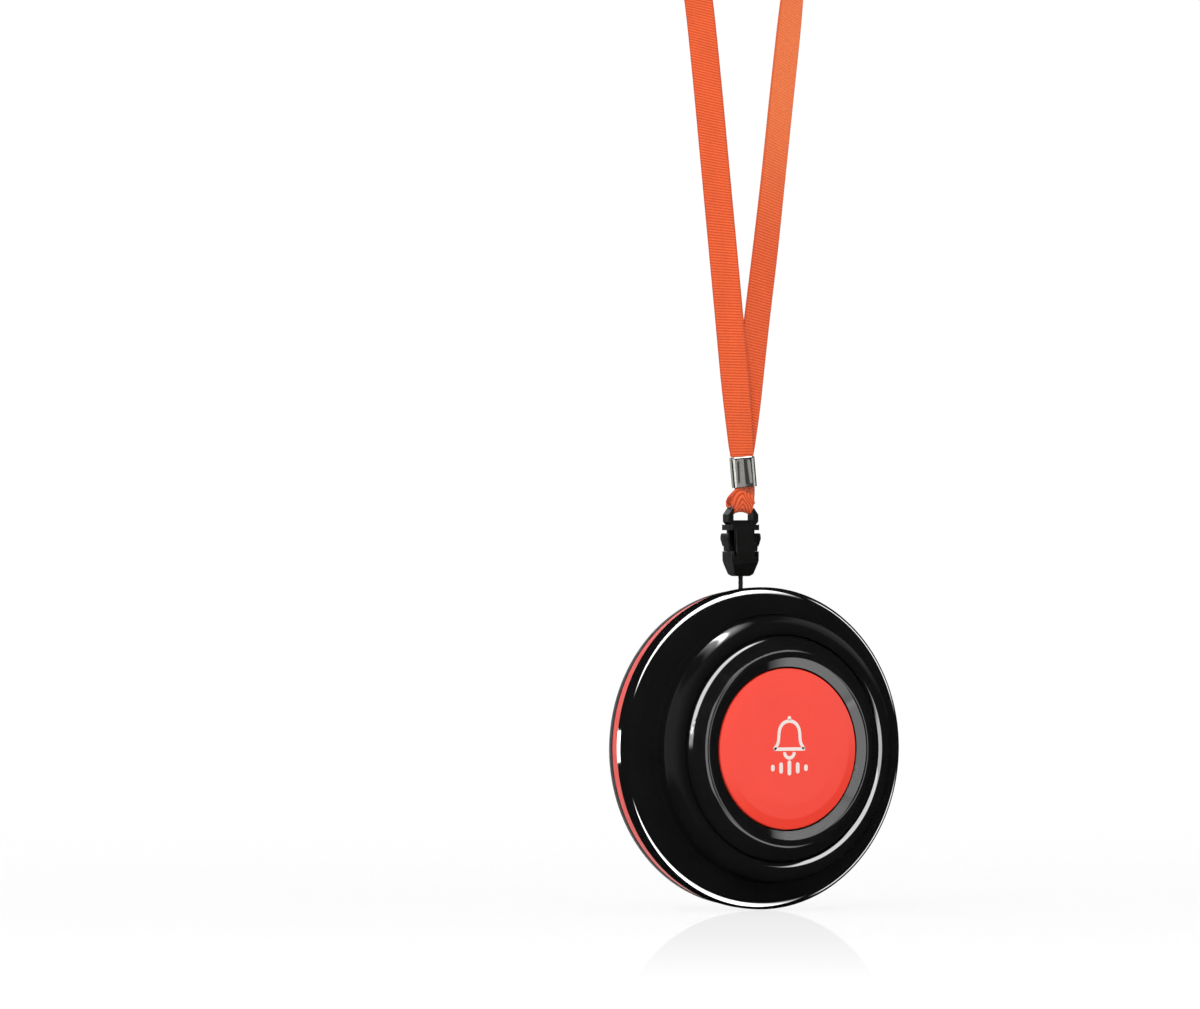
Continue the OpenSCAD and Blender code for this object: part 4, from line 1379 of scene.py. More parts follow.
@dataclass
class Pendant:
    """Round housing: front shell, bezel, press cap, red edge band, back cover and what is inside.

    A section's point has its distance from the axis, its depth from the back plane and its rounding.
    """

    rim: tuple[tuple[float, ...], ...] = (
        (31.5, 4.0),
        (31.77, 4.12, 0.06),
        (31.94, 5.5, 1.2),
        (32.0, 7.2, 6.0),
        (32.0, 9.4, 2.2),
        (29.5, 10.06, 0.0),
        (29.5, 8.46, 0.0),
        (29.0, 8.59),
        (29.0, 3.3),
        (29.8, 3.3),
        (29.8, 4.0),
    )
    brim: tuple[tuple[float, ...], ...] = (
        (29.5, 10.06, 0.0),
        (26.7, 10.8, 0.8),
        (26.66, 11.5, 0.0),
        (25.1, 11.4, 0.0),
        (25.3, 9.2),
        (25.3, 1.6),
        (26.2, 1.6),
        (26.2, 9.33),
        (29.0, 8.59),
        (29.5, 8.46, 0.0),
    )
    boss: tuple[tuple[float, ...], ...] = (
        (26.66, 11.5, 0.0),
        (26.42, 15.62, 2.7),
        (23.75, 15.62, 0.0),
        (23.75, 12.6, 0.0),
        (24.99, 12.6, 0.0),
        (25.1, 11.4, 0.0),
    )
    lip: tuple[tuple[float, ...], ...] = (
        (23.75, 15.62, 0.0),
        (23.2, 15.62, 1.6),
        (22.62, 15.22, 0.12),
        (22.68, 14.75),
        (22.8, 14.7),
        (22.8, 13.9),
        (18.4, 13.9),
        (18.4, 12.6),
        (23.75, 12.6, 0.0),
    )
    bezel: tuple[tuple[float, ...], ...] = (
        (16.2, 14.4),
        (16.2, 17.0, 0.25),
        (18.9, 18.22, 1.8),
        (22.48, 15.75, 2.4),
        (22.48, 14.6, 0.05),
        (22.65, 14.6, 0.05),
        (22.65, 13.9),
        (17.6, 13.9),
        (17.6, 14.4),
    )
    cap: tuple[tuple[float, ...], ...] = (
        (0.0, 13.4),
        (2.2, 13.4),
        (2.2, 16.1, 0.25),
        (14.8, 16.1, 0.25),
        (14.8, 13.7),
        (16.0, 13.7),
        (16.0, 17.25, 0.35),
        (14.0, 17.58, 4.0),
        (11.0, 17.7, 8.0),
        (0.0, 17.7),
    )
    band: tuple[tuple[float, ...], ...] = ((29.9, 1.5), (31.3, 1.5, 0.25), (31.3, 4.0, 0.1), (29.9, 4.0))
    hook: tuple[Point2, ...] = (
        (15.9, 13.7),
        (16.85, 13.7),
        (17.1, 13.95),
        (17.1, 14.2),
        (15.9, 14.2),
    )
    hook_angle: float = 24.0
    hook_steps: int = 8
    screw_boss: tuple[float, float, float, float] = (27.6, 1.7, 1.6, 9.1)
    standoff: tuple[float, float, float, float] = (20.5, 1.8, 8.8, 12.7)
    post_edge: float = 0.15
    post_sides: int = 32
    repeats: int = 3
    cover_edge: float = 0.12
    screw_edge: float = 0.07

    def centre(self) -> Vector:
        """Gives the middle of the back plane, from the box of the solid edge band."""
        low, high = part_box("mid_ring")
        return Vector(((low.x + high.x) / 2.0, high.y + self.band[0][1] * MM, (low.z + high.z) / 2.0))

    def post(self, name: str, size: tuple[float, float, float, float], angle: float) -> bpy.types.Mesh:
        """Builds one round post inside the shell.

        Args:
            name: Name of the mesh.
            size: Distance from the axis, radius, first depth and last depth.
            angle: Place round the axis, in degrees from the right.

        Returns:
            The post.
        """
        reach, radius, start, end = size
        middle = self.centre()
        x = reach * math.cos(math.radians(angle))
        z = reach * math.sin(math.radians(angle))
        rings: list[list[Vector]] = []
        for inset, depth in ((self.post_edge, start), (0.0, start + self.post_edge), (0.0, end)):
            circle = arc(x, z, radius - inset, 0.0, 360.0, self.post_sides)[:-1]
            rings.append([middle + Vector((across, -depth, up)) * MM for across, up in circle])
        return make_mesh(name, *tube(rings))

    def hook_mesh(self) -> bpy.types.Mesh:
        """Builds one of the cap's snap hooks, at the lower middle."""
        middle = self.centre()
        rings: list[list[Vector]] = []
        for step in range(self.hook_steps + 1):
            angle = math.radians(270.0 + self.hook_angle * (step / self.hook_steps - 0.5))
            spoke = Vector((math.cos(angle), 0.0, math.sin(angle)))
            ring = [spoke * radius + Vector((0.0, -depth, 0.0)) for radius, depth in self.hook]
            rings.append([middle + point * MM for point in ring])
        return make_mesh("cap_hook", *tube(rings), smooth=False)

    @staticmethod
    def join(piece: bpy.types.Object, others: Sequence[bpy.types.Object]) -> None:
        """Joins other pieces into one piece's mesh.

        Args:
            piece: Piece that takes them in.
            others: Pieces that go into it.
        """
        work = bmesh.new()
        work.from_mesh(piece.data)
        for other in others:
            work.from_mesh(other.data)
            bpy.data.objects.remove(other)
        work.to_mesh(piece.data)
        work.free()

    def build(self, shop: Workshop) -> None:
        """Builds and dresses the pendant.

        Args:
            shop: Shared frame, trees and materials.
        """
        middle = self.centre()
        repeated = {
            "housing_boss": (
                self.post("screw_boss", self.screw_boss, 270.0),
                self.post("standoff", self.standoff, 90.0),
            ),
            "press_cap": (self.hook_mesh(),),
        }
        for name, section, finish, body, slot, node in (
            ("housing_rim", self.rim, "housing", Body.PENDANT, Slot.BLACK_GLOSS, "front_shell"),
            ("housing_boss", self.boss, "housing", Body.PENDANT, Slot.BLACK_GLOSS, "front_shell"),
            ("housing_lip", self.lip, "housing", Body.PENDANT, Slot.BLACK_GLOSS, "front_shell"),
            ("housing_brim", self.brim, "housing", Body.PENDANT, Slot.BLACK_GLOSS, "front_shell"),
            ("bezel", self.bezel, "bezel", Body.PENDANT, Slot.BLACK_GLOSS, "bezel_ring"),
            ("press_cap", self.cap, "cap", Body.BUTTON, Slot.RED, "button_cap"),
            ("edge_band", self.band, "band", Body.PENDANT, Slot.RED, "mid_ring"),
        ):
            closed = section[0][0] > 0.0
            material = shop.material(finish)
            piece = shop.lathe.turn(name, rounded(section, closed), closed, middle, material)
            if name in repeated:
                rings = [self.repeat(shop, mesh, mesh.name + "_ring", finish) for mesh in repeated[name]]
                self.join(piece, rings)
            shop.settle(piece, body, slot, node)
        cover = shop.copy("back_cover", "rear_cover", "cover")
        shop.soften(cover, self.cover_edge)
        shop.settle(cover, Body.PENDANT, Slot.BLACK_PLASTIC, "back_cover")
        limit = middle.z - 0.5 * self.screw_boss[0] * MM
        screw = whole_faces(shop.nodes["housing_screws"].data, "housing_screw", limit)
        screws = self.repeat(shop, screw, "cover_screws", "screw")
        shop.soften(screws, self.screw_edge)
        shop.settle(screws, Body.PENDANT, Slot.STEEL, "housing_screws")
        for node, finish in (
            ("lanyard_bar", "screw"),
            ("seal_ring", "rubber"),
            ("circuit_board", "board"),
            ("board_screws", "screw"),
            ("switch_body", "chip"),
            ("switch_plunger", "plunger"),
            ("status_led", "lamp"),
            ("radio_chip", "chip"),
            ("chip_resistors", "chip"),
            ("crystal", "cell"),
            ("antenna_loop", "wire"),
            ("coin_cell", "cell"),
            ("battery_clip", "clip"),
            ("battery_contact", "clip"),
        ):
            shop.dress(node, finish)

    def repeat(self, shop: Workshop, mesh: bpy.types.Mesh, name: str, finish: str) -> bpy.types.Object:
        """Repeats a part round the pendant's axis.

        Args:
            shop: Shared frame, trees and materials.
            mesh: The part.
            name: Name of the whole ring.
            finish: Finish to wear.

        Returns:
            The ring of parts.
        """
        material = shop.material(finish)
        return shop.ring.run(mesh, name, Count=self.repeats, Centre=tuple(self.centre()), Material=material)


@dataclass
class Decal:
    """White print on the cap: an outlined bell over a row of sound bars."""

    stroke: float = 0.68
    proud: float = 0.03
    sunk: float = 0.02
    bell: tuple[Point2, ...] = (
        (-3.55, 0.0),
        (-3.05, 0.55),
        (-2.65, 1.3),
        (-2.5, 2.2),
        (-2.42, 3.2),
        (-2.15, 4.2),
        (-1.55, 5.0),
        (-0.75, 5.42),
        (0.0, 5.52),
    )
    base_height: float = -0.02
    base_steps: int = 16
    knob: tuple[float, float, float] = (0.0, 6.1, 0.42)
    knob_steps: int = 24
    clapper: Point2 = (-0.62, 1.15)
    clapper_steps: int = 20
    bar_middle: float = -3.75
    bar_pitch: float = 1.95
    bar_width: float = 0.85
    bar_heights: tuple[float, ...] = (1.3, 2.2, 3.0, 2.2, 1.3)
    bar_steps: int = 12

    def ribbon(self, spots: Sequence[Point2], closed: bool) -> list[list[Point2]]:
        """Gives the left and right edge of a stroke along a line.

        Args:
            spots: Points of the line.
            closed: Whether the line closes on itself.

        Returns:
            One pair of edge points for each point.
        """
        pairs: list[list[Point2]] = []
        count = len(spots)
        for index, spot in enumerate(spots):
            before = spots[index - 1] if closed or index else spot
            after = spots[(index + 1) % count] if closed or index < count - 1 else spot
            way = Vector((after[0] - before[0], after[1] - before[1])).normalized()
            side = Vector((-way.y, way.x)) * (self.stroke / 2.0)
            pairs.append([(spot[0] + side.x, spot[1] + side.y), (spot[0] - side.x, spot[1] - side.y)])
        return pairs

    def capsule(self, x: float, y: float, width: float, height: float) -> list[Point2]:
        """Gives the outline of an upright bar with round ends.

        Args:
            x: Its middle across.
            y: Its middle up.
            width: Its width.
            height: Its height.

        Returns:
            Points of the outline.
        """
        radius = width / 2.0
        reach = height / 2.0 - radius
        upper = arc(x, y + reach, radius, 0.0, 180.0, self.bar_steps)
        return upper + arc(x, y - reach, radius, 180.0, 180.0, self.bar_steps)

    def smooth(self, spots: Sequence[Point2], steps: int = 6) -> list[Point2]:
        """Runs a smooth line through points.

        Args:
            spots: Points to run through.
            steps: Parts between two points.

        Returns:
            Points of the line.
        """
        last = len(spots) - 1
        line: list[Point2] = []
        for index in range(last):
            near = [spots[min(max(index + shift, 0), last)] for shift in (-1, 0, 1, 2)]
            for part in range(steps):
                x, y = (Strap.between(*column, part / steps) for column in zip(*near))
                line.append((x, y))
        line.append(spots[last])
        return line

    def build(self, shop: Workshop, pendant: Pendant) -> None:
        """Builds the print on the cap's face.

        Args:
            shop: Shared frame, trees and materials.
            pendant: Pendant that wears the print.
        """
        middle = pendant.centre()
        face = pendant.cap[-1][1]
        points: list[Vector] = []
        faces: list[tuple[int, ...]] = []

        def place(x: float, y: float, rise: float) -> Vector:
            """Puts a point of the print on the cap's face."""
            return middle + Vector((x, -(face + rise), y)) * MM

        def lay(outline: Sequence[Point2]) -> None:
            """Adds a thin plate with a given outline.

            Args:
                outline: Its points.
            """
            first = len(points)
            count = len(outline)
            points.extend(place(x, y, -self.sunk) for x, y in outline)
            points.extend(place(x, y, self.proud) for x, y in outline)
            faces.append(tuple(range(first, first + count)))
            faces.append(tuple(range(first + count, first + 2 * count)))
            for index in range(count):
                beside = (index + 1) % count
                faces.append((first + index, first + beside, first + count + beside, first + count + index))

        def draw(spots: Sequence[Point2], closed: bool) -> None:
            """Adds a stroke along a line.

            Args:
                spots: Points of the line.
                closed: Whether the line closes on itself.
            """
            rings: list[list[Vector]] = []
            for left, right in self.ribbon(spots, closed):
                corners = ((left, -self.sunk), (right, -self.sunk), (right, self.proud), (left, self.proud))
                rings.append([place(*spot, rise) for spot, rise in corners])
            first = len(points)
            added, sides = tube(rings, closed)
            points.extend(added)
            faces.extend(tuple(number + first for number in face_numbers) for face_numbers in sides)

        half = self.smooth(self.bell)
        other = [(-x, y) for x, y in reversed(half[:-1])]
        foot = -self.bell[0][0]
        shares = [1.0 - 2.0 * k / self.base_steps for k in range(1, self.base_steps)]
        draw(half + other + [(foot * share, self.base_height) for share in shares], True)
        lay(arc(*self.knob, 0.0, 360.0, self.knob_steps)[:-1])
        top, radius = self.clapper
        draw(arc(0.0, top, radius, 180.0, 180.0, self.clapper_steps), False)
        for index, height in enumerate(self.bar_heights):
            offset = (index - (len(self.bar_heights) - 1) / 2.0) * self.bar_pitch
            lay(self.capsule(offset, self.bar_middle, self.bar_width, height))
        mesh = make_mesh("cap_print_ink", points, faces, False)
        mesh.materials.append(shop.material("ink"))
        shop.settle(make_object("cap_print", mesh), Body.BUTTON, Slot.RED)


@dataclass
class Crimp:
    """Pressed steel band round both layers of the strap, with two dents in front."""

    place: tuple[float, float, float] = (0.42, -0.27, -119.1)
    turn: float = -22.0
    lean: float = -5.0
    width: float = 4.9
    depth: float = 2.7
    height: float = 6.1
    wall: float = 0.35
    corner: float = 0.9
    least_corner: float = 0.1
    corner_steps: int = 8
    front_steps: int = 40
    back_steps: int = 28
    dents: tuple[float, ...] = (-0.7, 0.75)
    dent_width: float = 0.75
    dent_depth: float = 0.07
    dent_ends: Span = (1.95, 2.75)
    dent_lean: float = 0.05
    bow: float = 0.2
    rolled: float = 0.9
    roll_depth: float = 0.2
    roll_steps: int = 8
    levels: int = 41

    def outline(self, inset: float) -> list[Point2]:
        """Gives the band's outline, from the front wall's right end round the back.

        Args:
            inset: Distance inwards from the outer face.

        Returns:
            Points across and deep.
        """
        y = self.depth / 2.0 - inset
        radius = max(self.corner - inset, self.least_corner)
        flat = self.width / 2.0 - inset - radius
        deep = y - radius
        steps = self.corner_steps
        spots = arc(flat, -deep, radius, -90.0, 90.0, steps) + arc(flat, deep, radius, 0.0, 90.0, steps)
        spots += [(flat * (1.0 - 2.0 * k / self.back_steps), y) for k in range(1, self.back_steps)]
        spots += arc(-flat, deep, radius, 90.0, 90.0, steps) + arc(-flat, -deep, radius, 180.0, 90.0, steps)
        spots += [(flat * (2.0 * k / self.front_steps - 1.0), -y) for k in range(1, self.front_steps)]
        return spots

    def sink(self, x: float, y: float, z: float) -> float:
        """Gives how deep the press and the rolled top sink a place on the front wall.

        Args:
            x: Place across.
            y: Place deep, lowest in front.
            z: Height from the band's middle.

        Returns:
            Depth of the mark.
        """
        share = 1.0 - smoothstep(y, -self.depth / 2.0, -self.depth / 2.0 + self.wall)
        deep = self.bow * (2.0 * x / self.width) ** 2
        deep += self.roll_depth * max(0.0, (z - self.height / 2.0) / self.rolled + 1.0) ** 2
        for middle in self.dents:
            offset = (x - middle * (1.0 - self.dent_lean * z)) / self.dent_width
            ends = 1.0 - smoothstep(abs(z), *self.dent_ends)
            deep += self.dent_depth * ends * max(0.0, 1.0 - offset * offset) ** 1.5
        return share * deep

    def build(self, shop: Workshop) -> None:
        """Builds the band with rolled edges.

        Args:
            shop: Shared frame, trees and materials.
        """
        roll = self.wall / 2.0
        reach = self.height / 2.0 - roll
        shares = [2.0 * step / (self.levels - 1) - 1.0 for step in range(self.levels)]
        layers = [(0.0, reach * share) for share in shares]
        layers += arc(roll, reach, roll, 180.0, -180.0, self.roll_steps)[1:-1]
        layers += [(self.wall, -reach * share) for share in shares]
        layers += arc(roll, -reach, roll, 0.0, -180.0, self.roll_steps)[1:-1]
        move = (
            Matrix.Translation(Vector(self.place))
            @ Matrix.Rotation(math.radians(self.turn), 4, "Z")
            @ Matrix.Rotation(math.radians(self.lean), 4, "Y")
        )
        rings: list[list[Vector]] = []
        for inset, z in layers:
            spots = self.outline(inset)
            rings.append([move @ Vector((x, y + self.sink(x, y, z), z)) * MM for x, y in spots])
        mesh = make_mesh("crimp_band", *tube(rings, True))
        mesh.materials.append(shop.material("crimp"))
        shop.settle(make_object("steel_crimp", mesh), Body.LANYARD, Slot.STEEL, "crimp")


@dataclass
class Buckle:
    """Side-release buckle: frame, clip and its two sprung arms.

    The frame's lower edge meets the clip at the seam, and the arms are fuller at their shoulders.
    """

    edge: float = 0.1
    seam: Span = (-136.4, -136.5)
    seam_match: float = 0.02
    shoulder: Span = (-134.82, -133.92)
    shoulder_start: float = 3.0
    shoulder_foot: float = 0.06
    shoulder_drop: float = 0.08
    shoulder_growth: float = 1.25
    pieces: tuple[tuple[str, str, Body], ...] = (
        ("buckle_frame", "buckle_sheath", Body.LANYARD),
        ("buckle_clip", "buckle_base", Body.LANYARD),
        ("buckle_arm_left", "left_arm", Body.ARM_LEFT),
        ("buckle_arm_right", "right_arm", Body.ARM_RIGHT),
    )

    def build(self, shop: Workshop) -> None:
        """Dresses each part of the buckle as a softened copy of its solid.

        Args:
            shop: Shared frame, trees and materials.
        """
        for node, name, body in self.pieces:
            piece = shop.copy(node, name, "buckle")
            for vertex in piece.data.vertices:
                height = vertex.co.z / MM
                outside = abs(vertex.co.x) > self.shoulder_start * MM
                if node == "buckle_frame" and abs(height - self.seam[0]) < self.seam_match:
                    vertex.co.z = self.seam[1] * MM
                if "arm" in node and outside and self.shoulder[0] < height < self.shoulder[1]:
                    vertex.co.y *= self.shoulder_growth
                    if height < self.shoulder[0] + self.shoulder_foot:
                        vertex.co.z -= self.shoulder_drop * MM
            shop.soften(piece, self.edge)
            shop.settle(piece, body, Slot.BLACK_PLASTIC, node)


@dataclass(frozen=True)
class Card:
    """A panel that only mirrors show, and of those only the pieces that it names.

    Its light fades towards its edges, over shares of its size, and a taper narrows it at both ends.
    """

    NARROWEST: ClassVar[float] = 0.05
    SHARPEST: ClassVar[float] = 1e-4
    name: str
    strength: float
    pieces: tuple[str, ...]
    across: Span
    up: Span
    fade: Span = (0.1, 0.1)
    reach: float = 1.1
    taper: float = 0.0

    def glow(self, x: float, y: float) -> float:
        """Gives the share of light at a place on the panel.

        Args:
            x: Share of the way across.
            y: Share of the way up.

        Returns:
            Light, from 0 to 1.
        """
        light = 1.0
        narrow = max(1.0 - self.taper * (2.0 * x - 1.0) ** 2, self.NARROWEST)
        y = 0.5 + (y - 0.5) / narrow
        for place, soft in zip((x, y), self.fade):
            light *= smoothstep(1.0 - abs(2.0 * place - 1.0), 0.0, max(soft, self.SHARPEST))
        return light

    def spot(self, x: float, y: float) -> Vector:
        """Gives a place on the panel, seen from the pendant, in metres."""
        raise NotImplementedError

    @staticmethod
    def between(ends: Span, share: float) -> float:
        """Gives a value between two ends."""
        return ends[0] + (ends[1] - ends[0]) * share


@dataclass(frozen=True)
class WallCard(Card):
    """A curved panel round the object, between two azimuths and two elevations in degrees.

    Its first edge may rise towards its far end by a lift in degrees.
    """

    lift: float = 0.0

    def spot(self, x: float, y: float) -> Vector:
        """Gives a place on the panel, seen from the pendant, in metres."""
        rise = self.between(self.up, y) + self.lift * x * (1.0 - y)
        return toward(self.between(self.across, x), rise) * self.reach


@dataclass(frozen=True)
class FlatCard(Card):
    """A level panel above the object, or below it with a negative reach, in units of its height.

    Its long way may be turned about Z, and its edge sheared.
    """

    turn: float = 0.0
    shear: float = 0.0

    def spot(self, x: float, y: float) -> Vector:
        """Gives a place on the panel, seen from the pendant, in metres.

        Args:
            x: Share of the way across.
            y: Share of the way up.

        Returns:
            The place.
        """
        across = self.between(self.across, x)
        up = self.between(self.up, y) + self.shear * across * (1.0 - y)
        flat = Matrix.Rotation(math.radians(self.turn), 2) @ Vector((across, up))
        return Vector((flat.x * abs(self.reach), flat.y * abs(self.reach), self.reach))


def toward(azimuth: float, elevation: float) -> Vector:
    """Gives the direction of an azimuth and elevation, in degrees.

    Args:
        azimuth: Turn to the right from straight in front.
        elevation: Rise above the level.

    Returns:
        The direction in the frame's axes.
    """
    turn = math.radians(azimuth)
    rise = math.radians(elevation)
    flat = math.cos(rise)
    return Vector((math.sin(turn) * flat, -math.cos(turn) * flat, math.sin(rise)))


RIM = ("housing_rim",)
BOSS = ("housing_boss",)
LIP = ("housing_lip",)
BEZEL = ("bezel",)
CAP = ("press_cap",)
CRIMP = ("steel_crimp",)
BUCKLE = ("buckle_sheath", "buckle_base", "left_arm", "right_arm")
DULL_BLACK = BUCKLE + ("tether_braid",)
OWN_LIGHT = RIM + BOSS + LIP + BEZEL + CAP + CRIMP + DULL_BLACK + ("housing_brim",)


@dataclass
class Studio:
    """Camera, white world, pale floor, soft light and the panels round the object."""

    pixel: float = 64.0 / 321.6
    image: tuple[int, int] = (1200, 1009)
    pendant_pixel: Point2 = (740.6, 747.8)
    pendant_height: float = -174.0
    azimuth: float = -32.0
    camera_distance: float = 3.0
    sensor: float = 36.0
    floor_height: float = -206.1
    floor_reach: float = 900.0
    floor_shade: float = 0.16
    floor_bounce: float = 0.9
    floor_white: float = 1.005
    floor_fade: Span = (0.6, 0.98)
    mirror_roughness: float = 0.015
    mirror_share: float = 0.155
    mirror_reach: Span = (0.05, 0.62)
    world_light: float = 0.74
    cards: tuple[Card, ...] = (
        FlatCard("sky_strip", 26.0, RIM, (-2.5, 1.5), (-0.15, 0.5), (0.5, 0.08), 0.6, 0.7, -45.0),
        FlatCard("low_strip", 26.0, RIM, (-2.5, 1.5), (-0.15, 0.5), (0.5, 0.08), -0.6, 0.7, -45.0),
        WallCard("sky_edge", 12.0, RIM, (80.0, 97.0), (5.0, 42.0), (0.4, 0.3)),
        WallCard("low_edge", 12.0, RIM, (80.0, 97.0), (-42.0, -5.0), (0.4, 0.3)),
        WallCard("rim_spot", 30.0, RIM, (-176.0, -157.0), (-5.0, 5.0), (0.1, 0.1)),
        FlatCard(
            "shoulder_box", 16.0, BEZEL, (-5.0, 0.34), (-0.42, 1.3), (0.06, 0.12), 0.5, 0.0, 0.0, 0.7
        ),
        WallCard("shoulder_tip", 7.0, BEZEL, (-150.0, -46.0), (-1.0, 16.0), (0.1, 0.7)),
        WallCard("lip_start", 11.0, LIP, (-64.0, 6.0), (-22.0, 17.0), (0.1, 0.6)),
        WallCard("lip_panel", 16.0, LIP, (-48.0, 36.0), (9.0, 50.0), (0.1, 0.15)),
        FlatCard("crown_spot", 42.0, BOSS, (-0.19, 0.01), (-0.8, 0.85), (1.0, 0.9), 0.6),
        FlatCard("crown_halo", 6.0, BOSS, (-0.47, 0.31), (-1.1, 1.1), (1.0, 1.0), 0.6),
        WallCard("crown_glow", 0.27, BOSS, (38.0, 124.0), (10.0, 60.0), (0.5, 0.5)),
        WallCard("crown_line", 0.06, BOSS, (112.0, 152.0), (0.0, 34.0), (0.3, 0.3)),
        WallCard("left_panel", 0.26, BOSS, (-225.0, 38.0), (-26.0, 48.0), (0.8, 0.4)),
        WallCard("dish_panel", 3.7, BEZEL, (-31.0, -6.0), (-28.0, 28.0), (0.1, 0.12)),
        WallCard("crest_line", 3.7, BEZEL, (9.0, 18.0), (-26.0, 26.0), (0.1, 0.3)),
        WallCard("dish_high", 3.7, BEZEL, (-20.0, 62.0), (20.0, 47.0), (0.5, 0.2), 1.1, 0.0, 14.0),
        WallCard("dish_low", 3.7, BEZEL, (-20.0, 62.0), (-20.0, -47.0), (0.5, 0.2), 1.1, 0.0, -14.0),
        WallCard("cap_veil", 1.0, CAP, (-90.0, 78.0), (-46.0, 80.0), (0.2, 0.12), 1.1, 0.0, 50.0),
        WallCard("buckle_front", 0.26, DULL_BLACK, (-24.0, 30.0), (-40.0, 40.0), (0.3, 0.4)),
        WallCard("buckle_edge", 1.1, DULL_BLACK, (-84.0, -44.0), (-30.0, 40.0), (0.5, 0.5)),
        FlatCard("buckle_top", 2.0, DULL_BLACK, (-2.0, 2.0), (-2.0, 2.0), (0.5, 0.5), 0.6),
        WallCard("buckle_back", 0.3, DULL_BLACK, (95.0, 265.0), (-40.0, 60.0), (0.4, 0.4)),
        WallCard("crimp_dim", 0.08, CRIMP, (-70.0, 100.0), (-45.0, 25.0), (0.2, 0.3)),
        WallCard("crimp_face", 0.4, CRIMP, (-64.0, -5.0), (-45.0, 25.0), (0.3, 0.3)),
        WallCard("crimp_left", 0.9, CRIMP, (-58.0, -40.0), (-50.0, 40.0), (0.4, 0.3)),
        WallCard("crimp_right", 0.75, CRIMP, (16.0, 38.0), (-50.0, 40.0), (0.4, 0.3)),
        WallCard("crimp_top", 2.6, CRIMP, (-180.0, 180.0), (34.0, 86.0), (0.01, 0.3)),
        WallCard("crimp_back", 0.5, CRIMP, (105.0, 255.0), (-50.0, 34.0), (0.5, 0.3)),
    )
    card_gap: float = 0.02
    tent_reach: float = 4.0
    lamp_way: Point2 = (-50.0, 38.0)
    lamp_distance: float = 1.4
    lamp_size: float = 0.9
    lamp_power: float = 7.0

    def right(self) -> Vector:
        """Gives the image's right in the frame."""
        angle = math.radians(self.azimuth)
        return Vector((math.cos(angle), math.sin(angle), 0.0))

    def build_camera(self) -> None:
        """Makes the camera at the photograph's viewing angle."""
        data = bpy.data.cameras.new("camera")
        data.sensor_width = self.sensor
        data.lens = self.sensor * self.camera_distance / (self.image[0] * self.pixel * MM)
        data.clip_start = 0.1
        data.clip_end = 50.0
        camera = bpy.data.objects.new("camera", data)
        bpy.context.scene.collection.objects.link(camera)
        across = (self.image[0] / 2.0 - self.pendant_pixel[0]) * self.pixel
        rise = self.pendant_height + (self.pendant_pixel[1] - self.image[1] / 2.0) * self.pixel
        aim = (self.right() * across + Vector((0.0, 0.0, rise))) * MM
        back = toward(self.azimuth, 0.0)
        camera.location = aim + back * self.camera_distance
        camera.rotation_euler = (-back).to_track_quat("-Z", "Y").to_euler()
        bpy.context.scene.camera = camera

    def build_world(self) -> None:
        """Makes the world: white to the eye and in mirrors, softer as light."""
        world = bpy.data.worlds.new("studio")
        bpy.context.scene.world = world
        world.use_nodes = True
        nodes = Nodes(world.node_tree)
        output = nodes.add("ShaderNodeOutputWorld")
        seen = nodes.add("ShaderNodeBackground")
        lit = nodes.add("ShaderNodeBackground")
        for sky in (seen, lit):
            sky.inputs["Color"].default_value = (1.0, 1.0, 1.0, 1.0)
        lit.inputs["Strength"].default_value = self.world_light
        rays = nodes.add("ShaderNodeLightPath").outputs
        plain = nodes.math("MAXIMUM", rays["Is Camera Ray"], rays["Is Glossy Ray"])
        plain = nodes.math("MAXIMUM", plain, rays["Is Transmission Ray"])
        nodes.join(nodes.mix(plain, lit.outputs[0], seen.outputs[0]), output.inputs[0])

    def build_floor(self) -> None:
        """Makes the floor: white, with the shadow and a faint mirror image, gone at its edge."""
        size = self.floor_reach * MM
        height = self.floor_height * MM
        corners = [(-size, -size, height), (size, -size, height), (size, size, height), (-size, size, height)]
        mesh = bpy.data.meshes.new("floor")
        mesh.from_pydata(corners, [], [(0, 1, 2, 3)])
        graph = Graph("pale_floor")
        seen = graph.add("ShaderNodeLightPath").outputs["Is Camera Ray"]
        matt = graph.add("ShaderNodeBsdfDiffuse")
        graph.join(graph.span(seen, 0.0, 1.0, self.floor_bounce, self.floor_shade), matt.inputs["Color"])
        glow = graph.add("ShaderNodeEmission")
        white = self.floor_white - self.floor_bounce * self.floor_shade
        graph.join(graph.span(seen, 0.0, 1.0, 0.0, white), glow.inputs["Strength"])
        mirror = graph.add("ShaderNodeBsdfGlossy")
        mirror.inputs["Roughness"].default_value = self.mirror_roughness
        length = graph.add("ShaderNodeVectorMath", operation="LENGTH")
        graph.join(graph.place((1.0, 1.0, 0.0)), length.inputs[0])
        distance = length.outputs["Value"]
        polish = graph.span(distance, *self.mirror_reach, self.mirror_share, 0.0)
        lit = graph.both(matt.outputs[0], glow.outputs[0])
        polished = graph.mix(polish, lit, mirror.outputs[0])
        back = graph.add("ShaderNodeNewGeometry").outputs["Backfacing"]
        start, end = (size * share for share in self.floor_fade)
        hidden = graph.math("MAXIMUM", back, graph.span(distance, start, end, 0.0, 1.0))
        clear = graph.add("ShaderNodeBsdfTransparent")
        graph.surface(graph.mix(hidden, polished, clear.outputs[0]))
        mesh.materials.append(graph.material)
        floor = make_object("floor", mesh)
        floor.visible_glossy = False

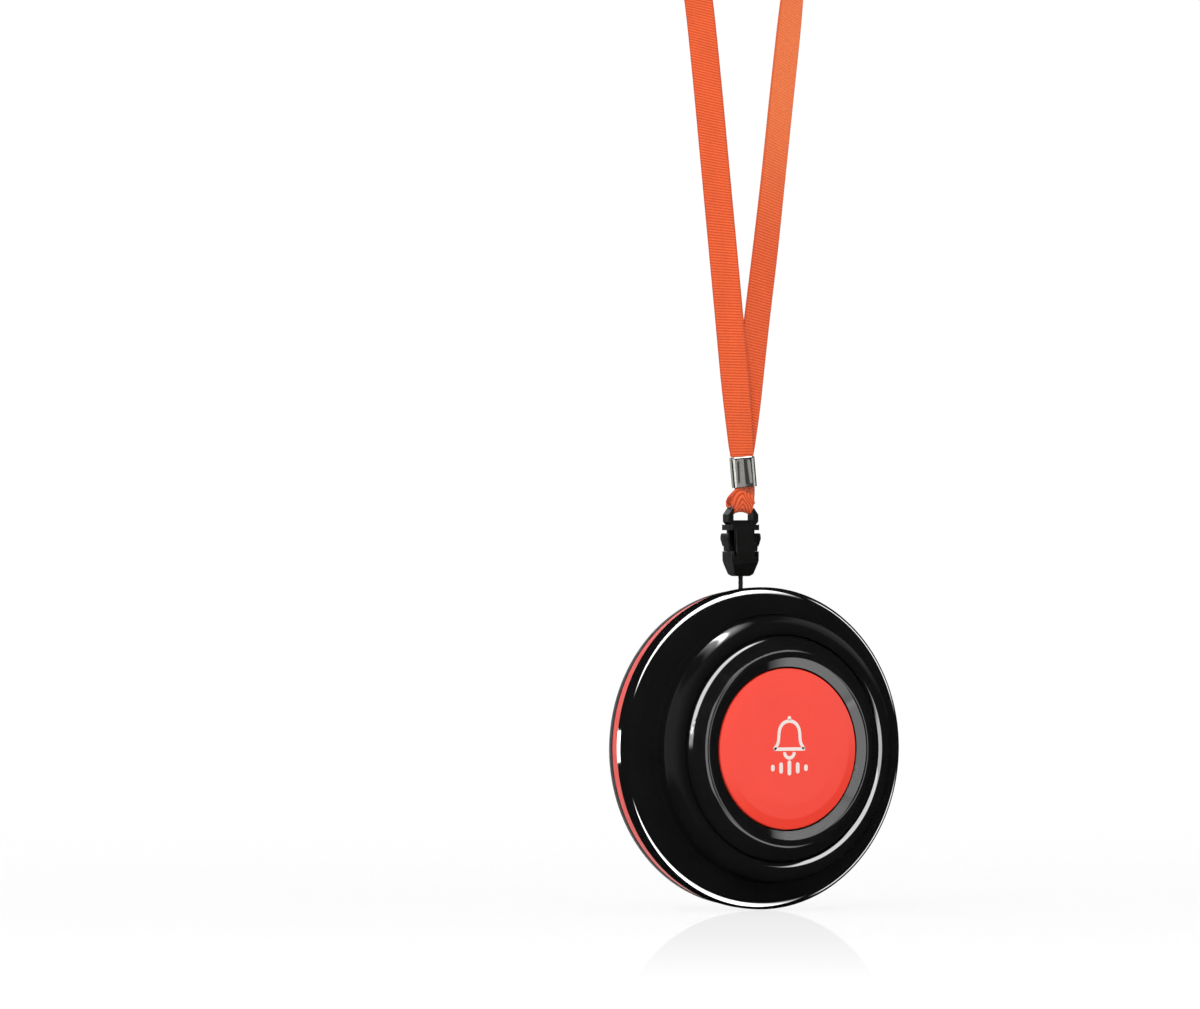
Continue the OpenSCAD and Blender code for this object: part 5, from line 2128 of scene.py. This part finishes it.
    def build_panel(self, card: Card, middle: Vector, growth: float, steps: int = 24) -> None:
        """Makes one panel.

        Args:
            card: Its place, light and the pieces that it lights.
            middle: Point that its place is taken from.
            growth: Factor on its distance, so that no two panels lie in one surface.
            steps: Faces each way.
        """
        points: list[Vector] = []
        glow: list[float] = []
        for row in range(steps + 1):
            for column in range(steps + 1):
                points.append(middle + card.spot(column / steps, row / steps) * growth)
                glow.append(card.glow(column / steps, row / steps))
        faces: list[tuple[int, ...]] = []
        for row in range(steps):
            for column in range(steps):
                first = row * (steps + 1) + column
                faces.append((first, first + 1, first + steps + 2, first + steps + 1))
        mesh = bpy.data.meshes.new(card.name)
        mesh.from_pydata([tuple(point) for point in points], [], faces)
        attribute(mesh, "glow", glow)
        graph = Graph(card.name)
        light = graph.add("ShaderNodeEmission")
        graph.join(graph.math("MULTIPLY", graph.attribute("glow"), card.strength), light.inputs["Strength"])
        clear = graph.add("ShaderNodeBsdfTransparent")
        graph.surface(graph.both(light.outputs[0], clear.outputs[0]))
        self.show_in_mirrors(mesh, graph.material, card.pieces)

    def build_tent(self, middle: Vector, pieces: Sequence[bpy.types.Object]) -> None:
        """Makes the tent, white in every mirror but those of the pieces with their own light.

        Args:
            middle: Its middle.
            pieces: Pieces of the object.
        """
        work = bmesh.new()
        bmesh.ops.create_icosphere(work, subdivisions=4, radius=self.tent_reach)
        bmesh.ops.translate(work, verts=work.verts, vec=middle)
        mesh = bpy.data.meshes.new("tent")
        work.to_mesh(mesh)
        work.free()
        graph = Graph("tent")
        graph.surface(graph.add("ShaderNodeEmission").outputs[0])
        names = [piece.name for piece in pieces if piece.name not in OWN_LIGHT]
        self.show_in_mirrors(mesh, graph.material, names + ["floor"])

    @staticmethod
    def show_in_mirrors(mesh: bpy.types.Mesh, material: bpy.types.Material, names: Sequence[str]) -> None:
        """Makes an object that only mirrors show, and of those only the pieces with these names.

        Args:
            mesh: Its mesh.
            material: Its light.
            names: Pieces that mirror it.
        """
        material.cycles.emission_sampling = "NONE"
        mesh.materials.append(material)
        panel = make_object(mesh.name, mesh)
        panel.visible_camera = False
        panel.visible_diffuse = False
        panel.visible_transmission = False
        panel.visible_volume_scatter = False
        panel.visible_shadow = False
        group = bpy.data.collections.new(mesh.name + "_lights")
        for name in names:
            group.objects.link(bpy.data.objects[name])
        panel.light_linking.receiver_collection = group

    def build_lamp(self, middle: Vector) -> None:
        """Makes the soft key lamp, which no mirror shows.

        Args:
            middle: Point that it faces.
        """
        data = bpy.data.lights.new("key", "AREA")
        data.shape = "DISK"
        data.size = self.lamp_size
        data.energy = self.lamp_power
        lamp = bpy.data.objects.new("key", data)
        bpy.context.scene.collection.objects.link(lamp)
        way = toward(*self.lamp_way)
        lamp.location = middle + way * self.lamp_distance
        lamp.rotation_euler = (-way).to_track_quat("-Z", "Y").to_euler()
        lamp.visible_glossy = False

    def build(self, middle: Vector, pieces: Sequence[bpy.types.Object]) -> None:
        """Builds the whole studio round the finished pieces.

        Args:
            middle: Point that the lights face.
            pieces: Pieces of the object.
        """
        self.build_camera()
        self.build_world()
        self.build_floor()
        for number, card in enumerate(self.cards):
            self.build_panel(card, middle, 1.0 + self.card_gap * number)
        self.build_tent(middle, pieces)
        self.build_lamp(middle)
        scene = bpy.context.scene
        scene.view_settings.view_transform = "Standard"
        scene.cycles.glossy_bounces = 0
        scene.cycles.transparent_max_bounces = 64
        bpy.data.objects["neck_strap_web"].visible_glossy = False


def clear_stage() -> None:
    """Removes what the start-up file holds."""
    for item in list(bpy.data.objects):
        bpy.data.objects.remove(item, do_unlink=True)


def main() -> None:
    """Builds the call button on its frame, piece by piece."""
    logging.basicConfig(level=logging.INFO, format="%(name)s: %(message)s")
    clear_stage()
    shop = Workshop(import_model())
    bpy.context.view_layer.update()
    pendant = Pendant()
    Strap().build(shop)
    Tether().build(shop)
    pendant.build(shop)
    Decal().build(shop, pendant)
    Crimp().build(shop)
    Buckle().build(shop)
    Studio().build(pendant.centre(), shop.made)
    log.info("%d pieces made", len(shop.made))


if __name__ == "__main__":
    main()
